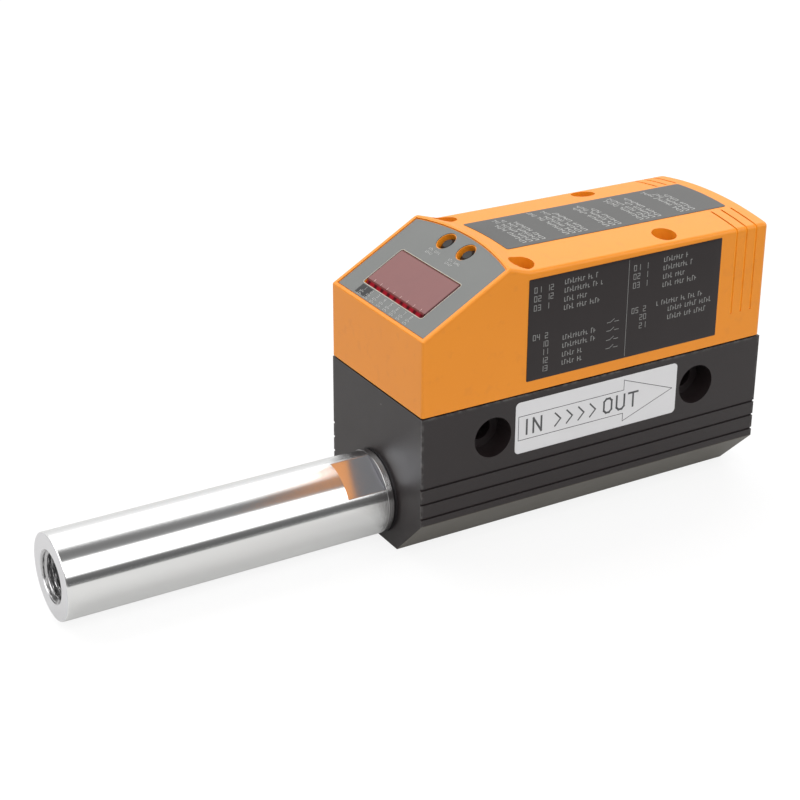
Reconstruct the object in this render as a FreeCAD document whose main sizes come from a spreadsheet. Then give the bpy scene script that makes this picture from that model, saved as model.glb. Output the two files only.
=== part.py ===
import FreeCAD, Part
import os
import Sketcher
from FreeCAD import Rotation, Vector

# Compressed air flow meter: a steel measuring pipe in an aluminium base, and a
# moulded cap with a slanted display front. +X is the flow direction, +Z is up,
# and the origin is the middle of the base's foot. All sizes are in millimetres.
DIMENSIONS = (
    # outline of the housing
    ("housing_length", 105.0),
    ("housing_width", 45.0),
    ("base_height", 41.4),
    ("foot_chamfer", 11.8),
    ("side_groove_gap", 2.2),
    ("side_groove_pitch", 4.1),
    ("side_groove_width", 0.6),
    ("side_groove_depth", 0.5),
    # counterbored cross holes that bolt the meter to a wall
    ("mount_pitch", 63.5),
    ("mount_drop", 9.6),
    ("mount_hole_radius", 3.2),
    ("mount_seat_radius", 5.4),
    ("mount_seat_depth", 6.5),
    # measuring pipe with a tapped port at each end
    ("pipe_radius", 11.0),
    ("pipe_floor_wall", 1.4),
    ("pipe_inlet_reach", 88.5),
    ("pipe_outlet_reach", 6.0),
    ("pipe_edge_chamfer", 0.5),
    ("pipe_fit", 0.05),
    ("flow_bore_radius", 4.0),
    ("port_radius", 5.72),
    ("port_depth", 13.0),
    ("port_taper", 1.2),
    ("port_countersink", 1.1),
    ("collar_width", 2.2),
    ("collar_rise", 0.25),
    ("collar_gap", 0.3),
    ("pipe_seal_inset", 7.0),
    ("pipe_seal_side", 1.2),
    ("pipe_seal_room", 0.2),
    # electronics pocket in the top of the base
    ("pocket_length", 47.0),
    ("pocket_side_wall", 8.0),
    ("pocket_floor_wall", 3.2),
    ("pocket_corner_radius", 3.0),
    # sensor carrier, its probes and its board
    ("sensor_stem_radius", 3.4),
    ("sensor_fit", 0.05),
    ("sensor_seal_side", 1.0),
    ("sensor_seal_depth", 3.5),
    ("carrier_length", 11.0),
    ("carrier_width", 18.0),
    ("carrier_thickness", 2.5),
    ("carrier_corner_radius", 2.0),
    ("carrier_tower_radius", 3.2),
    ("carrier_tower_height", 3.6),
    ("probe_radius", 0.6),
    ("probe_spacing", 3.6),
    ("probe_reach", 4.6),
    ("probe_tail", 1.0),
    ("probe_fit", 0.02),
    ("sensor_board_length", 38.0),
    ("sensor_board_width", 22.0),
    # gasket between the base and the cap
    ("gasket_thickness", 0.4),
    ("gasket_inset", 0.7),
    # moulded cap: the front slants up to a crest, a short flank drops behind it, and the
    # crowned deck falls a little to the outlet end
    ("cap_front_height", 20.0),
    ("crest_height", 35.35),
    ("slant_angle", 29.5),
    ("flank_angle", 17.4),
    ("deck_drop", 1.1),
    ("deck_fall_angle", 0.66),
    ("crown_rise", 2.1),
    ("cap_wall", 2.0),
    ("front_edge_radius", 0.6),
    ("rear_edge_radius", 1.5),
    ("top_edge_radius", 1.2),
    ("slant_edge_radius", 0.5),
    ("flank_foot_radius", 5.0),
    # screw wells in the cap
    ("cap_screw_slope_gap", 3.6),
    ("cap_screw_side_inset", 4.7),
    ("well_radius", 3.25),
    ("boss_wall", 1.2),
    ("screw_seat_height", 6.0),
    # finger grips near the outlet end of the cap
    ("grip_inset", 4.2),
    ("grip_pitch", 3.2),
    ("grip_width", 0.6),
    ("grip_depth", 0.35),
    ("grip_low", 8.0),
    ("grip_rail_start", 11.6),
    # membrane film and display window on the slanted front
    ("film_thickness", 0.2),
    ("film_recess", 0.4),
    ("film_gap", 0.3),
    ("film_side_margin", 1.28),
    ("film_foot_margin", 0.88),
    ("film_top_margin", 0.53),
    ("window_width", 28.6),
    ("window_start", 5.05),
    ("window_button_gap", 8.1),
    ("window_corner_radius", 0.8),
    ("window_fit", 0.2),
    ("window_set_back", 0.25),
    ("window_bevel", 1.4),
    ("window_bevel_drop", 0.8),
    ("window_flange", 1.2),
    ("window_flange_thickness", 0.8),
    # setting buttons and their switches
    ("button_spacing", 9.3),
    ("button_slope_gap", 2.03),
    ("button_well_radius", 2.6),
    ("button_rim", 0.25),
    ("button_fit", 0.25),
    ("button_sleeve_wall", 1.0),
    ("button_sleeve_depth", 4.0),
    ("button_tip_depth", 1.0),
    ("button_tip_radius", 1.6),
    ("button_tip_height", 0.9),
    ("button_tip_chamfer", 0.3),
    ("button_flange_thickness", 1.0),
    ("button_stem_radius", 1.0),
    ("switch_width", 6.0),
    ("switch_height", 3.0),
    ("switch_lid", 0.8),
    ("switch_floor", 0.4),
    ("switch_room", 0.3),
    ("dome_radius", 2.2),
    ("dome_crown_radius", 1.0),
    ("dome_rise", 0.7),
    ("dome_sheet", 0.15),
    ("dome_gap", 0.1),
    # display board behind the slanted front
    ("board_thickness", 1.6),
    ("display_board_depth", 8.0),
    ("display_board_start", 3.0),
    ("display_shoulder_gap", 2.2),
    ("display_board_margin", 3.0),
    ("display_neck_inset", 11.5),
    ("display_post_gap", 4.2),
    ("display_post_spacing", 26.6),
    ("display_post_edge", 2.7),
    ("module_start", 8.2),
    ("module_window_gap", 0.7),
    ("module_width", 26.0),
    ("module_gap", 0.3),
    ("led_station", 6.4),
    ("led_pitch", 3.2),
    ("led_length", 1.0),
    ("led_width", 1.8),
    ("led_height", 4.0),
    # main board under the top of the cap
    ("main_board_inset", 25.5),
    ("main_board_end_gap", 0.5),
    ("main_board_side_gap", 0.65),
    ("board_post_radius", 2.2),
    ("board_screw_inset", 9.0),
    ("board_screw_edge", 3.0),
    ("lead_thickness", 0.4),
    ("lead_width", 8.0),
    ("lead_foot", 3.0),
    ("sensor_lead_place", 10.0),
    ("display_lead_inset", 3.0),
    # screws, and how far holes run past what fills them
    ("cap_screw_radius", 1.5),
    ("cap_screw_length", 12.0),
    ("cap_screw_head_radius", 2.75),
    ("cap_screw_head_height", 3.0),
    ("cap_screw_socket_width", 2.5),
    ("cap_screw_socket_depth", 1.4),
    ("small_screw_radius", 1.0),
    ("small_screw_length", 4.6),
    ("small_screw_head_radius", 1.9),
    ("small_screw_head_height", 1.3),
    ("screw_clearance", 0.2),
    ("thread_fit", 0.02),
    ("hole_spare_depth", 1.0),
    ("cut_through_spare", 1.0),
    # round plug connector in the outlet end of the cap
    ("connector_rise", 17.5),
    ("connector_reach", 11.0),
    ("connector_thread_radius", 6.0),
    ("connector_thread_chamfer", 0.6),
    ("connector_flange_radius", 9.2),
    ("connector_flange_thickness", 2.2),
    ("connector_rear_radius", 7.0),
    ("connector_rear_length", 8.0),
    ("connector_cavity_radius", 5.0),
    ("connector_fit", 0.1),
    ("connector_seal_gap", 0.7),
    ("connector_seal_side", 0.8),
    ("connector_nut_width", 19.0),
    ("connector_nut_thickness", 3.0),
    ("insert_face", 2.5),
    ("insert_tail", 1.0),
    ("pin_radius", 0.5),
    ("pin_offset", 2.475),
    ("pin_set_back", 2.0),
    ("pin_tail", 6.0),
    ("pin_fit", 0.02),
    # adhesive labels and the flow plate
    ("label_thickness", 0.15),
    ("side_label_start_inset", 30.1),
    ("side_label_end_inset", 15.5),
    ("side_label_low", 3.0),
    ("side_label_top_gap", 1.37),
    ("top_label_gap", 0.9),
    ("top_label_end_inset", 4.7),
    ("top_label_width", 20.7),
    ("plate_end_gap", 1.15),
    ("plate_groove_gap", 2.8),
    ("plate_top_gap", 1.9),
    ("plate_corner_radius", 1.2),
)
SIDE_GROOVES = 3
GRIPS = 3
INDICATOR_LEDS = 8

# places that several pieces share, written as expressions on the sheet
HALF_LENGTH = "(dim.housing_length / 2)"
HALF_WIDTH = "(dim.housing_width / 2)"
CAP_FLOOR = "(dim.base_height + dim.gasket_thickness)"
INNER_HALF_WIDTH = f"({HALF_WIDTH} - dim.cap_wall)"
CROWN_RADIUS = f"(({HALF_WIDTH}^2 + dim.crown_rise^2) / (2 * dim.crown_rise))"
CREST_BEND = "(dim.crown_rise * tan(dim.slant_angle) / (tan(dim.slant_angle) + tan(dim.flank_angle)))"
SLOPE_EDGE = f"((dim.crest_height - {CREST_BEND} - dim.cap_front_height) / sin(dim.slant_angle))"
SLOPE_RUN = "((dim.crest_height - dim.cap_front_height) / tan(dim.slant_angle))"
DECK_START = f"(-{HALF_LENGTH} + {SLOPE_RUN} + dim.deck_drop / tan(dim.flank_angle))"
SKY = "(dim.crest_height + dim.cap_wall)"
TOP_GROOVE = f"(dim.foot_chamfer + dim.side_groove_gap + {SIDE_GROOVES - 1} * dim.side_groove_pitch)"
MOUNT_HEIGHT = "(dim.base_height - dim.mount_drop)"
PIPE_AXIS = "(dim.pipe_radius + dim.pipe_floor_wall)"
PIPE_TOP = f"({PIPE_AXIS} + dim.pipe_radius)"
POCKET_WIDTH = "(dim.housing_width - 2 * dim.pocket_side_wall)"
POCKET_FLOOR = f"({PIPE_TOP} + dim.pocket_floor_wall)"
CARRIER_TOP = f"({POCKET_FLOOR} + dim.carrier_thickness + dim.carrier_tower_height)"
CARRIER_SCREW_PLACE = "(dim.carrier_width / 2 - dim.small_screw_head_radius - dim.screw_clearance)"
SENSOR_BOARD_TOP = f"({CARRIER_TOP} + dim.board_thickness)"
CAP_SCREW_PITCH_X = f"(dim.housing_length - 2 * ({SLOPE_RUN} + dim.cap_screw_slope_gap))"
CAP_SCREW_PITCH_Y = "(dim.housing_width - 2 * dim.cap_screw_side_inset)"
BOSS_RADIUS = "(dim.well_radius + dim.boss_wall)"
CONNECTOR_HEIGHT = f"({CAP_FLOOR} + dim.connector_rise)"
CONNECTOR_REAR = "(dim.connector_rear_length + dim.insert_tail)"
MAIN_BOARD_TOP = f"({CONNECTOR_HEIGHT} - dim.pin_offset - dim.pin_radius)"
MAIN_BOARD_FLOOR = f"({MAIN_BOARD_TOP} - dim.board_thickness)"
MAIN_BOARD_START = f"(-{HALF_LENGTH} + dim.main_board_inset)"
MAIN_BOARD_END = f"({HALF_LENGTH} - {CONNECTOR_REAR} - dim.main_board_end_gap)"
MAIN_BOARD_CENTER = f"(({MAIN_BOARD_START} + {MAIN_BOARD_END}) / 2)"
MAIN_BOARD_LENGTH = f"({MAIN_BOARD_END} - {MAIN_BOARD_START})"
MAIN_BOARD_WIDTH = f"({CAP_SCREW_PITCH_Y} - 2 * ({BOSS_RADIUS} + dim.main_board_side_gap))"
BOARD_SCREW_PITCH_X = f"({MAIN_BOARD_LENGTH} - 2 * dim.board_screw_inset)"
BOARD_SCREW_PITCH_Y = f"({MAIN_BOARD_WIDTH} - 2 * dim.board_screw_edge)"
DISPLAY_BOARD_BACK = "(dim.display_board_depth + dim.board_thickness)"
BUTTON_STATION = f"({SLOPE_EDGE} - dim.button_slope_gap)"
WINDOW_END = f"({BUTTON_STATION} - dim.window_button_gap)"
WINDOW_HEIGHT = f"({WINDOW_END} - dim.window_start)"
WINDOW_MIDDLE = f"(dim.window_start + {WINDOW_HEIGHT} / 2)"
BOARD_SCREW_HOLE = "(dim.small_screw_radius + dim.screw_clearance)"
CAP_SCREW_HOLE = "(dim.cap_screw_radius + dim.screw_clearance)"
PILOT_RADIUS = "(dim.small_screw_radius + dim.thread_fit)"
PILOT_DEPTH = "(dim.small_screw_length - dim.board_thickness + dim.hole_spare_depth)"
BOTH_SIDES = ("-", "")
NEAR = 0.01

doc = FreeCAD.newDocument("air_flow_meter")
dim = doc.addObject("Spreadsheet::Sheet", "dim")
for row, (alias, size) in enumerate(DIMENSIONS, 1):
    dim.set(f"A{row}", alias)
    dim.set(f"B{row}", str(size))
    dim.setAlias(f"B{row}", alias)
doc.recompute()
sub_parts = []


def number(text):
    """The value that an expression has now."""
    return float(dim.evalExpression(text))


def place(feature, x="0", y="0", z="0"):
    """Tie a feature's position to three expressions."""
    for axis, text in zip("xyz", (x, y, z)):
        feature.setExpression(f"Placement.Base.{axis}", text)


def slant_point(along, depth):
    """X, and height above the cap's floor, of a point on the slanted front.

    along is measured up the slope from its foot, depth is measured inwards.
    """
    x = f"-{HALF_LENGTH} + ({along}) * cos(dim.slant_angle) + ({depth}) * sin(dim.slant_angle)"
    z = f"dim.cap_front_height + ({along}) * sin(dim.slant_angle) - ({depth}) * cos(dim.slant_angle)"
    return x, z


def place_on_slant(feature, along="0", across="0", depth="0", turn="0"):
    """Stand a feature on the slanted front: its own X runs up the slope, its Z points out."""
    x, z = slant_point(along, depth)
    feature.Placement.Rotation = Rotation(Vector(0, -1, 0), 1)
    place(feature, x, across, f"{CAP_FLOOR} + {z}")
    feature.setExpression("Placement.Rotation.Angle", f"dim.slant_angle + {turn}")


def deck_height(along, across):
    """Height of the crowned deck above the cap's floor, at a place along X and a distance from the middle."""
    fall = f"(({along}) - {DECK_START}) * tan(dim.deck_fall_angle)"
    sink = f"({CROWN_RADIUS} - sqrt({CROWN_RADIUS}^2 - ({across})^2))"
    return f"(dim.crest_height - dim.deck_drop - {fall} - {sink})"


def new_body(label, listed=True):
    body = doc.addObject("PartDesign::Body", label)
    body.Label = label
    body.AllowCompound = True
    if listed:
        sub_parts.append(body)
    return body


def new_sketch(body, plane, offset="0"):
    """A sketch on one of the body's own planes, moved along the plane's normal."""
    origin = {feature.Role: feature for feature in body.Origin.OriginFeatures}
    sketch = body.newObject("Sketcher::SketchObject", f"{body.Name}_sketch")
    sketch.AttachmentSupport = [(origin[plane], "")]
    sketch.MapMode = "FlatFace"
    sketch.setExpression("AttachmentOffset.Base.z", offset)
    return sketch


def slant_sketch(body, depth="0"):
    """A sketch of the cap parallel to its slanted front, with the sketch's X up the slope."""
    sketch = new_sketch(body, "XY_Plane")
    x, z = slant_point("0", depth)
    sketch.AttachmentOffset = FreeCAD.Placement(Vector(), Rotation(Vector(0, -1, 0), 1))
    sketch.setExpression("AttachmentOffset.Base.x", x)
    sketch.setExpression("AttachmentOffset.Base.z", z)
    sketch.setExpression("AttachmentOffset.Rotation.Angle", "dim.slant_angle")
    return sketch


def fix(sketch, kind, text, *ends):
    """Add one measured constraint and tie it to an expression."""
    index = sketch.addConstraint(Sketcher.Constraint(kind, *ends, number(text)))
    sketch.setExpression(f"Constraints[{index}]", text)


def arc_between(start, end, radius, hollow):
    """An arc that bulges to the right of the way from start to end, or to the left if hollow."""
    chord = end - start
    half = chord.Length / 2
    outward = Vector(chord.y, -chord.x, 0).normalize() * (-1 if hollow else 1)
    rise = radius - (radius ** 2 - half ** 2) ** 0.5
    return Part.Arc(start, start + chord / 2 + outward * rise, end)


def outline(sketch, corners, arcs=None, hollow=()):
    """A closed outline through corners; arcs gives the radius of each side that is round."""
    arcs = arcs or {}
    first = sketch.GeometryCount
    points = [Vector(number(x), number(y), 0) for x, y in corners]
    ends = []
    for side, start in enumerate(points):
        end = points[(side + 1) % len(points)]
        if side in arcs:
            curve = arc_between(start, end, number(arcs[side]), side in hollow)
        else:
            curve = Part.LineSegment(start, end)
        index = sketch.addGeometry(curve)
        forward = (sketch.getPoint(index, 1) - start).Length < (sketch.getPoint(index, 2) - start).Length
        ends.append((1, 2) if forward else (2, 1))
    for side, (x, y) in enumerate(corners):
        following = (side + 1) % len(points)
        begin, finish = ends[side]
        meeting = (first + side, finish, first + following, ends[following][0])
        sketch.addConstraint(Sketcher.Constraint("Coincident", *meeting))
        fix(sketch, "DistanceX", x, -1, 1, first + side, begin)
        fix(sketch, "DistanceY", y, -1, 1, first + side, begin)
        if side in arcs:
            fix(sketch, "Radius", arcs[side], first + side)


def rectangle(sketch, x, y, length, width):
    """A rectangle about the point x, y."""
    left, right = f"({x}) - ({length}) / 2", f"({x}) + ({length}) / 2"
    low, high = f"({y}) - ({width}) / 2", f"({y}) + ({width}) / 2"
    outline(sketch, [(left, low), (right, low), (right, high), (left, high)])


def round_rectangle(sketch, x, y, length, width, radius):
    """A rectangle about the point x, y with quarter-circle corners."""
    left, right = f"({x}) - ({length}) / 2", f"({x}) + ({length}) / 2"
    low, high = f"({y}) - ({width}) / 2", f"({y}) + ({width}) / 2"
    corners = [
        (f"{left} + {radius}", low), (f"{right} - {radius}", low),
        (right, f"{low} + {radius}"), (right, f"{high} - {radius}"),
        (f"{right} - {radius}", high), (f"{left} + {radius}", high),
        (left, f"{high} - {radius}"), (left, f"{low} + {radius}"),
    ]
    outline(sketch, corners, arcs={side: radius for side in (1, 3, 5, 7)})


def hexagon(sketch, width):
    """A regular hexagon about the origin, measured across its flats."""
    reach = f"{width} / (2 * cos(30))"
    outline(sketch, [(f"{reach} * cos({60 * i})", f"{reach} * sin({60 * i})") for i in range(6)])


def circle(sketch, x, y, radius):
    center = Vector(number(x), number(y), 0)
    index = sketch.addGeometry(Part.Circle(center, Vector(0, 0, 1), number(radius)))
    fix(sketch, "DistanceX", x, -1, 1, index, 3)
    fix(sketch, "DistanceY", y, -1, 1, index, 3)
    fix(sketch, "Radius", radius, index)


def four_places(pitch_x, pitch_y, center_x="0"):
    """The corners of a rectangle, as pairs of expressions."""
    return [(f"{center_x} + {x}{pitch_x} / 2", f"{y}{pitch_y} / 2") for x in BOTH_SIDES for y in BOTH_SIDES]


CAP_SCREW_PLACES = four_places(CAP_SCREW_PITCH_X, CAP_SCREW_PITCH_Y)
BOARD_SCREW_PLACES = four_places(BOARD_SCREW_PITCH_X, BOARD_SCREW_PITCH_Y, MAIN_BOARD_CENTER)
BUTTON_PLACES = [(BUTTON_STATION, f"{side}dim.button_spacing / 2") for side in BOTH_SIDES]
DISPLAY_SCREW_PLACES = [(f"{BUTTON_STATION} - dim.display_post_gap", f"{side}dim.display_post_spacing / 2")
                        for side in BOTH_SIDES]


def circles(sketch, places, radius):
    for x, y in places:
        circle(sketch, x, y, radius)


def pad(body, sketch, length, symmetric=False):
    feature = body.newObject("PartDesign::Pad", f"{body.Name}_pad")
    feature.Profile = sketch
    feature.setExpression("Length", length)
    feature.SideType = "Symmetric" if symmetric else "One side"
    return feature


def pocket(body, sketch, length=None, symmetric=False, outward=False):
    """Cut along the sketch's normal, right through where no length is given."""
    feature = body.newObject("PartDesign::Pocket", f"{body.Name}_pocket")
    feature.Profile = sketch
    feature.Reversed = outward
    feature.SideType = "Symmetric" if symmetric else "One side"
    if length is None:
        feature.Type = "ThroughAll"
    else:
        feature.setExpression("Length", length)
    return feature


def lean(feature, x, z):
    """Make a pad or a pocket run along a direction in the XZ plane instead of its sketch's normal."""
    feature.UseCustomVector = True
    for axis, text in zip("xyz", (x, "0", z)):
        feature.setExpression(f"Direction.{axis}", text)


def round_edges(body, radius, wanted):
    """Fillet those edges of the body so far for which wanted(box of the edge) holds."""
    doc.recompute()
    base = body.Tip
    names = [f"Edge{i}" for i, edge in enumerate(base.Shape.Edges, 1) if wanted(edge.BoundBox)]
    feature = body.newObject("PartDesign::Fillet", f"{body.Name}_fillet")
    feature.Base = (base, names)
    feature.setExpression("Radius", radius)


def turned(label, profile, axis, listed=True):
    """A body made by turning one profile about an axis of its sketch."""
    body = new_body(label, listed)
    sketch = new_sketch(body, "XZ_Plane")
    outline(sketch, profile)
    feature = body.newObject("PartDesign::Revolution", f"{body.Name}_turning")
    feature.Profile = sketch
    feature.ReferenceAxis = (sketch, [axis])
    feature.Angle = 360
    return body


def group(label, pieces):
    """One sub-part that holds several like solids."""
    compound = doc.addObject("Part::Compound", label)
    compound.Links = pieces
    compound.Label = label
    sub_parts.append(compound)


def base_block():
    """Aluminium extrusion: chamfered foot, side grooves, pipe bore and cross holes."""
    body = new_body("base_block")
    right = [(f"{HALF_WIDTH} - dim.foot_chamfer", "0"), (HALF_WIDTH, "dim.foot_chamfer")]
    floor = f"{HALF_WIDTH} - dim.side_groove_depth"
    for groove in range(SIDE_GROOVES):
        middle = f"{TOP_GROOVE} - {SIDE_GROOVES - 1 - groove} * dim.side_groove_pitch"
        low, high = f"{middle} - dim.side_groove_width / 2", f"{middle} + dim.side_groove_width / 2"
        right += [(HALF_WIDTH, low), (floor, low), (floor, high), (HALF_WIDTH, high)]
    right.append((HALF_WIDTH, "dim.base_height"))
    left = [(f"-({y})", z) for y, z in reversed(right)]
    section = new_sketch(body, "YZ_Plane")
    outline(section, right + left)
    pad(body, section, "dim.housing_length", symmetric=True)

    bore = new_sketch(body, "YZ_Plane")
    circle(bore, "0", PIPE_AXIS, "dim.pipe_radius + dim.pipe_fit")
    pocket(body, bore, symmetric=True)

    mounts = [(f"{side}dim.mount_pitch / 2", MOUNT_HEIGHT) for side in BOTH_SIDES]
    holes = new_sketch(body, "XZ_Plane")
    circles(holes, mounts, "dim.mount_hole_radius")
    pocket(body, holes, symmetric=True)
    seats = new_sketch(body, "XZ_Plane", HALF_WIDTH)
    circles(seats, mounts, "dim.mount_seat_radius")
    pocket(body, seats, "dim.mount_seat_depth")

    opening = new_sketch(body, "XY_Plane", "dim.base_height")
    round_rectangle(opening, "0", "0", "dim.pocket_length", POCKET_WIDTH, "dim.pocket_corner_radius")
    pocket(body, opening, f"dim.base_height - {POCKET_FLOOR}")
    threads = new_sketch(body, "XY_Plane", "dim.base_height")
    circles(threads, CAP_SCREW_PLACES, "dim.cap_screw_radius + dim.thread_fit")
    engaged = "dim.cap_screw_length - dim.screw_seat_height - dim.gasket_thickness"
    pocket(body, threads, f"{engaged} + dim.hole_spare_depth")

    sensor_hole = new_sketch(body, "XY_Plane", POCKET_FLOOR)
    circle(sensor_hole, "0", "0", "dim.sensor_stem_radius + dim.sensor_fit")
    pocket(body, sensor_hole, "dim.pocket_floor_wall + dim.pipe_radius")
    carrier_holes = new_sketch(body, "XY_Plane", POCKET_FLOOR)
    circles(carrier_holes, [("0", f"{side}{CARRIER_SCREW_PLACE}") for side in BOTH_SIDES], PILOT_RADIUS)
    pocket(body, carrier_holes, "dim.small_screw_length - dim.carrier_thickness + dim.hole_spare_depth")


def measuring_pipe():
    """Polished steel pipe, turned in one piece, with a collar where it enters the base."""
    inlet = f"-({HALF_LENGTH} + dim.pipe_inlet_reach)"
    outlet = f"{HALF_LENGTH} + dim.pipe_outlet_reach"
    shoulder = f"-{HALF_LENGTH} - dim.collar_gap"
    radius, rise, edge = "dim.pipe_radius", "dim.collar_rise", "dim.pipe_edge_chamfer"
    profile = [
        (inlet, f"{radius} - {edge}"),
        (f"{inlet} + {edge}", radius),
        (f"{shoulder} - dim.collar_width", radius),
        (f"{shoulder} - dim.collar_width + {rise}", f"{radius} + {rise}"),
        (f"{shoulder} - {rise}", f"{radius} + {rise}"),
        (shoulder, radius),
    ]
    half_groove = "((dim.pipe_seal_side + dim.pipe_seal_room) / 2)"
    floor = f"{radius} + dim.pipe_fit - dim.pipe_seal_side"
    for side in BOTH_SIDES:
        middle = f"{side}({HALF_LENGTH} - dim.pipe_seal_inset)"
        near, far = f"{middle} - {half_groove}", f"{middle} + {half_groove}"
        profile += [(near, radius), (near, floor), (far, floor), (far, radius)]
    mouth = "dim.port_radius + dim.port_countersink"
    profile += [
        (f"{outlet} - {edge}", radius),
        (outlet, f"{radius} - {edge}"),
        (outlet, mouth),
        (f"{outlet} - dim.port_countersink", "dim.port_radius"),
        (f"{outlet} - dim.port_depth", "dim.port_radius"),
        (f"{outlet} - dim.port_depth - dim.port_taper", "dim.flow_bore_radius"),
        (f"{inlet} + dim.port_depth + dim.port_taper", "dim.flow_bore_radius"),
        (f"{inlet} + dim.port_depth", "dim.port_radius"),
        (f"{inlet} + dim.port_countersink", "dim.port_radius"),
        (inlet, mouth),
    ]
    body = turned("measuring_pipe", profile, "H_Axis")
    sensor_hole = new_sketch(body, "XY_Plane")
    circle(sensor_hole, "0", "0", "dim.sensor_stem_radius + dim.sensor_fit")
    pocket(body, sensor_hole, outward=True)
    place(body, z=PIPE_AXIS)


def pipe_seals():
    """A square-cut rubber ring in a groove of the pipe near each end of the base."""
    rings = []
    half, outer = "dim.pipe_seal_side / 2", "dim.pipe_radius + dim.pipe_fit"
    inner = f"{outer} - dim.pipe_seal_side"
    profile = [(f"-{half}", inner), (half, inner), (half, outer), (f"-{half}", outer)]
    for side in BOTH_SIDES:
        seal = turned("pipe_seal", profile, "H_Axis", listed=False)
        place(seal, f"{side}({HALF_LENGTH} - dim.pipe_seal_inset)", "0", PIPE_AXIS)
        rings.append(seal)
    group("pipe_seals", rings)


def sensor_carrier():
    """Plug that carries the probes through the base into the pipe, with its square-cut seal."""
    radius = "dim.sensor_stem_radius"
    tip = f"{PIPE_AXIS} + dim.flow_bore_radius"
    groove = f"{PIPE_TOP} - dim.sensor_seal_depth"
    low, high = f"{groove} - dim.sensor_seal_side / 2", f"{groove} + dim.sensor_seal_side / 2"
    wall = f"{radius} + dim.sensor_fit"
    floor = f"{wall} - dim.sensor_seal_side"
    flange_top = f"{POCKET_FLOOR} + dim.carrier_thickness"
    profile = [
        ("0", tip), (radius, tip),
        (radius, low), (floor, low), (floor, high), (radius, high),
        (radius, flange_top),
        ("dim.carrier_tower_radius", flange_top),
        ("dim.carrier_tower_radius", CARRIER_TOP), ("0", CARRIER_TOP),
    ]
    body = turned("sensor_carrier", profile, "V_Axis")
    flange = new_sketch(body, "XY_Plane", POCKET_FLOOR)
    round_rectangle(flange, "0", "0", "dim.carrier_length", "dim.carrier_width", "dim.carrier_corner_radius")
    pad(body, flange, "dim.carrier_thickness")
    holes = new_sketch(body, "XY_Plane", CARRIER_TOP)
    circles(holes, [(f"{side}dim.probe_spacing / 2", "0") for side in BOTH_SIDES],
            "dim.probe_radius + dim.probe_fit")
    circles(holes, [("0", f"{side}{CARRIER_SCREW_PLACE}") for side in BOTH_SIDES], BOARD_SCREW_HOLE)
    pocket(body, holes)

    turned("sensor_seal", [(floor, low), (wall, low), (wall, high), (floor, high)], "V_Axis")


def probes():
    """Two steel needles that dip into the stream: one is heated, one reads the air."""
    tip = f"{PIPE_AXIS} + dim.flow_bore_radius - dim.probe_reach"
    tail = f"{SENSOR_BOARD_TOP} + dim.probe_tail"
    for label, side in (("heated_probe", ""), ("reference_probe", "-")):
        profile = [
            ("0", tip),
            ("dim.probe_radius / 2", tip),
            ("dim.probe_radius", f"{tip} + dim.probe_radius / 2"),
            ("dim.probe_radius", tail),
            ("0", tail),
        ]
        place(turned(label, profile, "V_Axis"), f"{side}dim.probe_spacing / 2")


def sensor_board():
    """Small circuit board that sits on the carrier's tower, pinned by the probes."""
    body = new_body("sensor_board")
    sheet = new_sketch(body, "XY_Plane", CARRIER_TOP)
    rectangle(sheet, "0", "0", "dim.sensor_board_length", "dim.sensor_board_width")
    circles(sheet, [(f"{side}dim.probe_spacing / 2", "0") for side in BOTH_SIDES],
            "dim.probe_radius + dim.probe_fit")
    pad(body, sheet, "dim.board_thickness")


def base_gasket():
    """Flat rubber sheet between base and cap, a little inside the outline."""
    body = new_body("base_gasket")
    sheet = new_sketch(body, "XY_Plane", "dim.base_height")
    rectangle(sheet, "0", "0", "dim.housing_length - 2 * dim.gasket_inset",
              "dim.housing_width - 2 * dim.gasket_inset")
    round_rectangle(sheet, "0", "0", "dim.pocket_length", POCKET_WIDTH, "dim.pocket_corner_radius")
    circles(sheet, CAP_SCREW_PLACES, CAP_SCREW_HOLE)
    pad(body, sheet, "dim.gasket_thickness")


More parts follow.
